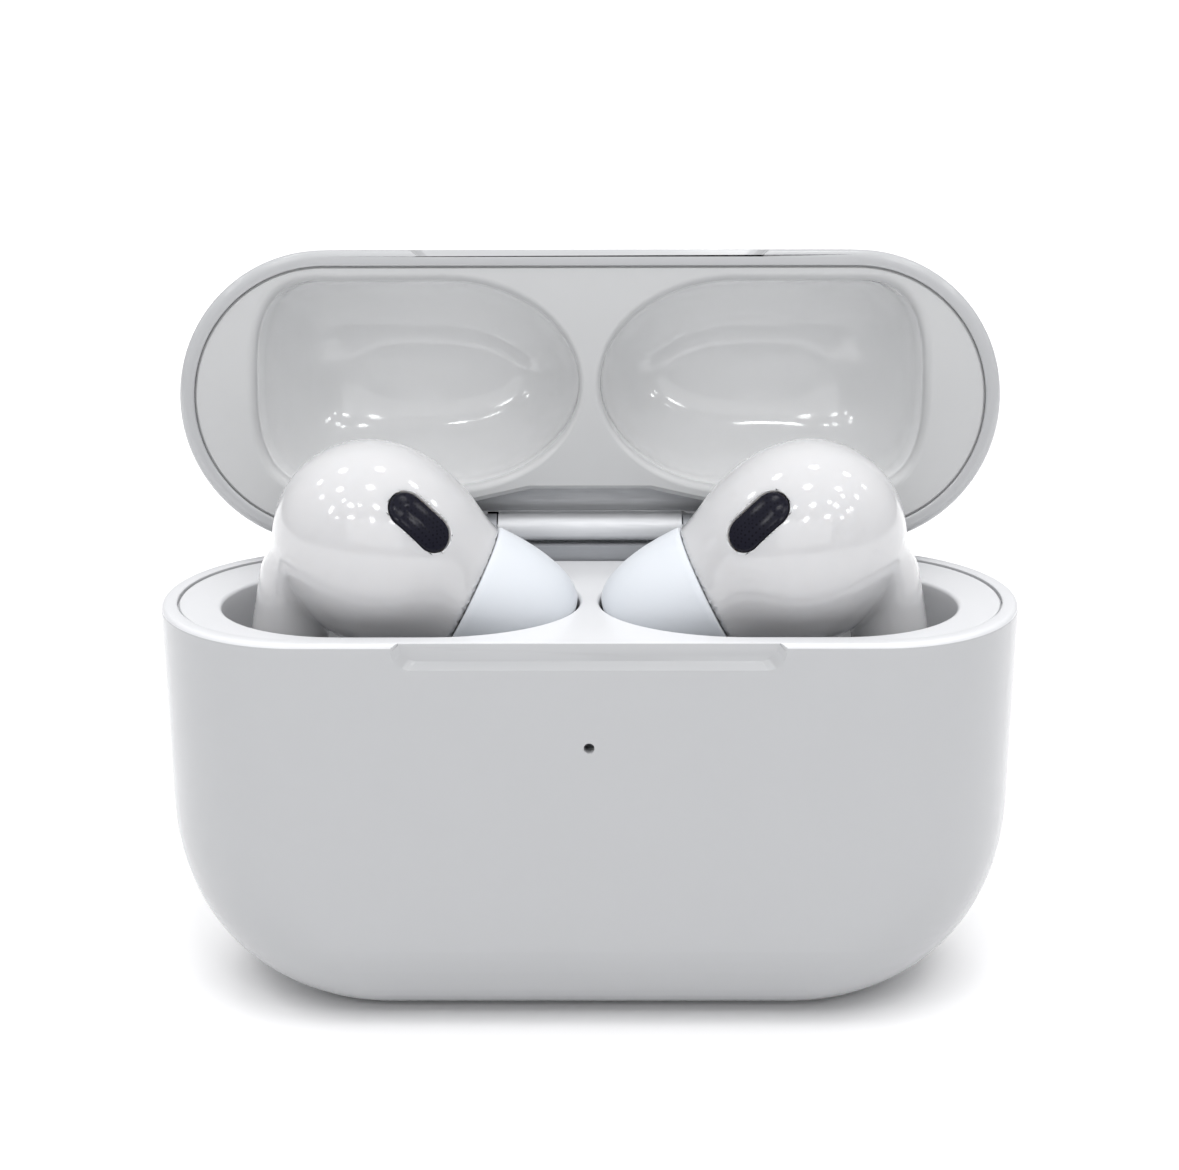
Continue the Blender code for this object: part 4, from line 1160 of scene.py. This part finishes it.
def make_housing(side, name):
    """The hard shell of the head and stem, hollow, with openings for the nozzle and the vent."""
    item = bud_skin()
    nozzle = rod(TIP_BASE, TIP_AXIS, -5.0 * MM, 3.0 * MM, NOZZLE_RADIUS + 1.5 * GAP)
    vent_size = (VENT_SIZE[0] + 0.1 * MM, VENT_SIZE[1] + 0.1 * MM)
    vent = loft([vent_ring(*vent_size, rise, False) for rise in (-3.0 * MM, 2.0 * MM)])
    bore = stem_shape(STEM_WALL, STEM_FOOT_Z, SEAM_Z + 1.2 * MM)
    hollow = ellipsoid(HOLLOW_AT, HOLLOW_SLOPE, HOLLOW_HALF, 32, 16)
    carve(item, "DIFFERENCE", [hollow, bore, nozzle, vent])
    soften_edges(item, 0.05 * MM, 2, 50.0)
    if side < 0:
        item.data.transform(Matrix.Diagonal((-1.0, 1.0, 1.0, 1.0)))
        item.data.flip_normals()
    finish_piece(item, f"{name}_bud_housing")


def skirt_curve(low, high, start, end, count):
    """Points from the skirt's rim to the tip's mouth: (distance along the axis, radius)."""
    points = []
    for i in range(count + 1):
        share = math.sin(0.5 * math.pi * i / count)
        fall = math.sqrt(max(0.0, 1.0 - share**2.2))
        points.append((start + (end - start) * share, low + (high - low) * fall))
    return points


def make_ear_tip(side, name):
    """The soft tip: a domed skirt that turns back over a sleeve on the nozzle."""
    outside = skirt_curve(2.6 * MM, 5.1 * MM, TIP_RIM + 0.14 * MM, 7.8 * MM, 26)
    mouth = [(7.76 * MM, 2.5 * MM), (7.65 * MM, 2.45 * MM)]
    sleeve = [(1.9 * MM, 2.45 * MM), (1.9 * MM, 2.9 * MM)]
    inside = skirt_curve(2.9 * MM, 4.6 * MM, TIP_RIM + 0.14 * MM, 6.4 * MM, 14)[::-1]
    rim = [(TIP_RIM + 0.04 * MM, 4.65 * MM), (TIP_RIM, 4.84 * MM), (TIP_RIM + 0.04 * MM, 5.04 * MM)]
    tip = turned(outside + mouth + sleeve + inside + rim, TIP_BASE, TIP_AXIS, 96)
    middle = Matrix.Translation((0.0, WELL_Y, 0.0))
    tip.transform(middle @ Matrix.Diagonal((1.0, TIP_FLATTEN, 1.0, 1.0)) @ middle.inverted())
    finish_piece(new_object("tip", on_side(tip, side)), f"{name}_ear_tip", sharp=50.0, weighted=False)


def make_nozzle(side, name):
    """The nozzle with a rounded mouth, and the screen inside it."""
    mouth = 5.8 * MM
    half_wall = (NOZZLE_RADIUS - NOZZLE_BORE) / 2.0
    profile = [(-1.6 * MM, NOZZLE_BORE), (-1.6 * MM, NOZZLE_RADIUS)]
    for i in range(9):
        angle = math.pi * i / 8
        along = mouth - half_wall * (1.0 - math.sin(angle))
        profile.append((along, NOZZLE_BORE + half_wall * (1.0 + math.cos(angle))))
    nozzle = turned(profile, TIP_BASE, TIP_AXIS)
    finish_piece(new_object("nozzle", on_side(nozzle, side)), f"{name}_bud_nozzle")
    radius = NOZZLE_BORE - 0.2 * MM
    domed = [(5.2 * MM, radius), (5.42 * MM, radius), (5.48 * MM, radius * 0.7), (5.5 * MM, radius * 0.3)]
    screen = lathe(domed, TIP_BASE, TIP_AXIS)
    finish_piece(new_object("screen", on_side(screen, side)), f"{name}_bud_screen")


def make_contact_cap(side, name):
    """The metal cap on the stem's foot, with a rounded edge."""
    lip = 0.6 * MM
    rings = []
    for pull, rise in reversed(lip_steps(8)):
        rings.append(stem_ring(lip * pull, STEM_FOOT_Z + lip * (1.0 - rise)))
    rings.append(stem_ring(0.0, CAP_TOP_Z))
    finish_piece(new_object("cap", on_side(loft(rings), side)), f"{name}_contact_cap")


def make_earbuds():
    """Both earbuds."""
    for side, name in ((1, "right"), (-1, "left")):
        for make in (make_housing, make_ear_tip, make_vent, make_nozzle, make_contact_cap):
            make(side, name)


# Studio

MIDDLE = Vector((0.0, SHIFT.y, 29.65 * MM))
CAMERA_DISTANCE = 144.0 * MM
CAMERA_HEIGHT = math.radians(17.94)
CAMERA_TURN = math.radians(0.28)
CAMERA_ROLL = math.radians(-0.13)
LENS = 61.93
OVERHEAD_POWER = 2.0
OVERHEAD_WIDTH = math.radians(70.0)
HORIZON = (0.3, 0.302, 0.31)
ZENITH = (0.95, 0.95, 0.955)
FRONT_AT = (0.0, -0.95, 0.4)
CEILING_Z = 0.6
NEAR_DISTANCE = 0.6

# Lamps: size, power and shape
FRONT_LAMP = ((0.9, 0.5), 1.1, "RECTANGLE")
CEILING_LAMP = ((0.08, 0.08), 0.11, "DISK")
NEAR_LAMP = ((0.04, 0.04), 0.05, "DISK")


def make_floor():
    """A wide pale floor."""
    shape = bmesh.new()
    bmesh.ops.create_grid(shape, x_segments=1, y_segments=1, size=4.0)
    floor = new_object("studio_floor", shape)
    floor.location.z = cad_bounds[0].z
    material, tree, shader = new_finish("floor_paper", Roughness=0.9, Specular_IOR_Level=0.0)
    tone = tinted(tree, noise(tree, 4.0, 2.0), (0.83, 0.83, 0.835), (0.84, 0.84, 0.845))
    tree.links.new(tone, shader.inputs["Base Color"])
    floor.data.materials.append(material)


def make_sky():
    """A white room: dimmer at the height of the case than overhead."""
    world = bpy.data.worlds.new("studio")
    bpy.context.scene.world = world
    world.use_nodes = True
    tree = world.node_tree
    place = tree.nodes.new("ShaderNodeTexCoord").outputs["Generated"]
    split = tree.nodes.new("ShaderNodeSeparateXYZ")
    tree.links.new(place, split.inputs["Vector"])
    height = spread(tree, split.outputs["Z"], 0.0, 1.0, 0.0, 1.0)
    colour = tinted(tree, height, HORIZON, ZENITH)
    background = tree.nodes["Background"]
    tree.links.new(colour, background.inputs["Color"])
    background.inputs["Strength"].default_value = 1.0


def add_lamp(name, location, size, power, shape):
    """A soft area light that faces the middle of the case."""
    data = bpy.data.lights.new(name, "AREA")
    data.shape = shape
    data.size, data.size_y = size
    data.energy = power
    lamp = bpy.data.objects.new(name, data)
    lamp.location = Vector(location)
    lamp.rotation_euler = (MIDDLE - lamp.location).to_track_quat("-Z", "Y").to_euler()
    bpy.context.scene.collection.objects.link(lamp)


def make_lights():
    """A wide even light from overhead, a large soft one at the front, and rows of small lamps."""
    data = bpy.data.lights.new("overhead", "SUN")
    data.energy = OVERHEAD_POWER
    data.angle = OVERHEAD_WIDTH
    sun = bpy.data.objects.new("overhead", data)
    # Its reflection would whiten the tops of the earbuds
    sun.visible_glossy = False
    bpy.context.scene.collection.objects.link(sun)
    add_lamp("front", FRONT_AT, *FRONT_LAMP)
    for row in range(4):
        for column in range(5):
            place = Vector((0.3 * (column - 2) + 0.06 * (row % 2), 0.3 * row - 0.75, CEILING_Z))
            add_lamp(f"ceiling_{row}_{column}", place, *CEILING_LAMP)
    for row, height in enumerate((35.0, 51.0)):
        for column in range(5):
            turn = math.radians(25.0 * (column - 2) + 8.0 * row)
            rise = math.radians(height)
            level = math.cos(rise)
            way = Vector((math.sin(turn) * level, -math.cos(turn) * level, math.sin(rise)))
            place = MIDDLE + NEAR_DISTANCE * way
            add_lamp(f"front_{row}_{column}", place, *NEAR_LAMP)


def make_camera():
    """The camera, a little above the case and in front of it."""
    data = bpy.data.cameras.new("camera")
    data.lens = LENS
    data.clip_start = 5.0 * MM
    data.clip_end = 20.0
    camera = bpy.data.objects.new("camera", data)
    across, level = math.sin(CAMERA_TURN), math.cos(CAMERA_HEIGHT)
    look = Vector((-across * level, math.cos(CAMERA_TURN) * level, -math.sin(CAMERA_HEIGHT)))
    camera.location = MIDDLE - look * CAMERA_DISTANCE
    roll = Matrix.Rotation(CAMERA_ROLL, 4, "Z")
    camera.rotation_euler = (look.to_track_quat("-Z", "Y").to_matrix().to_4x4() @ roll).to_euler()
    bpy.context.scene.collection.objects.link(camera)
    bpy.context.scene.camera = camera


def main():
    """Builds the looks, then the studio round them."""
    dress_frame()
    make_body_shell()
    make_tray()
    make_inlet()
    make_button()
    make_charging_pins()
    make_hinge()
    make_lid_shell()
    make_lid_liner()
    make_earbuds()
    make_floor()
    make_sky()
    make_lights()
    make_camera()
    bpy.context.scene.view_settings.view_transform = "Standard"


main()
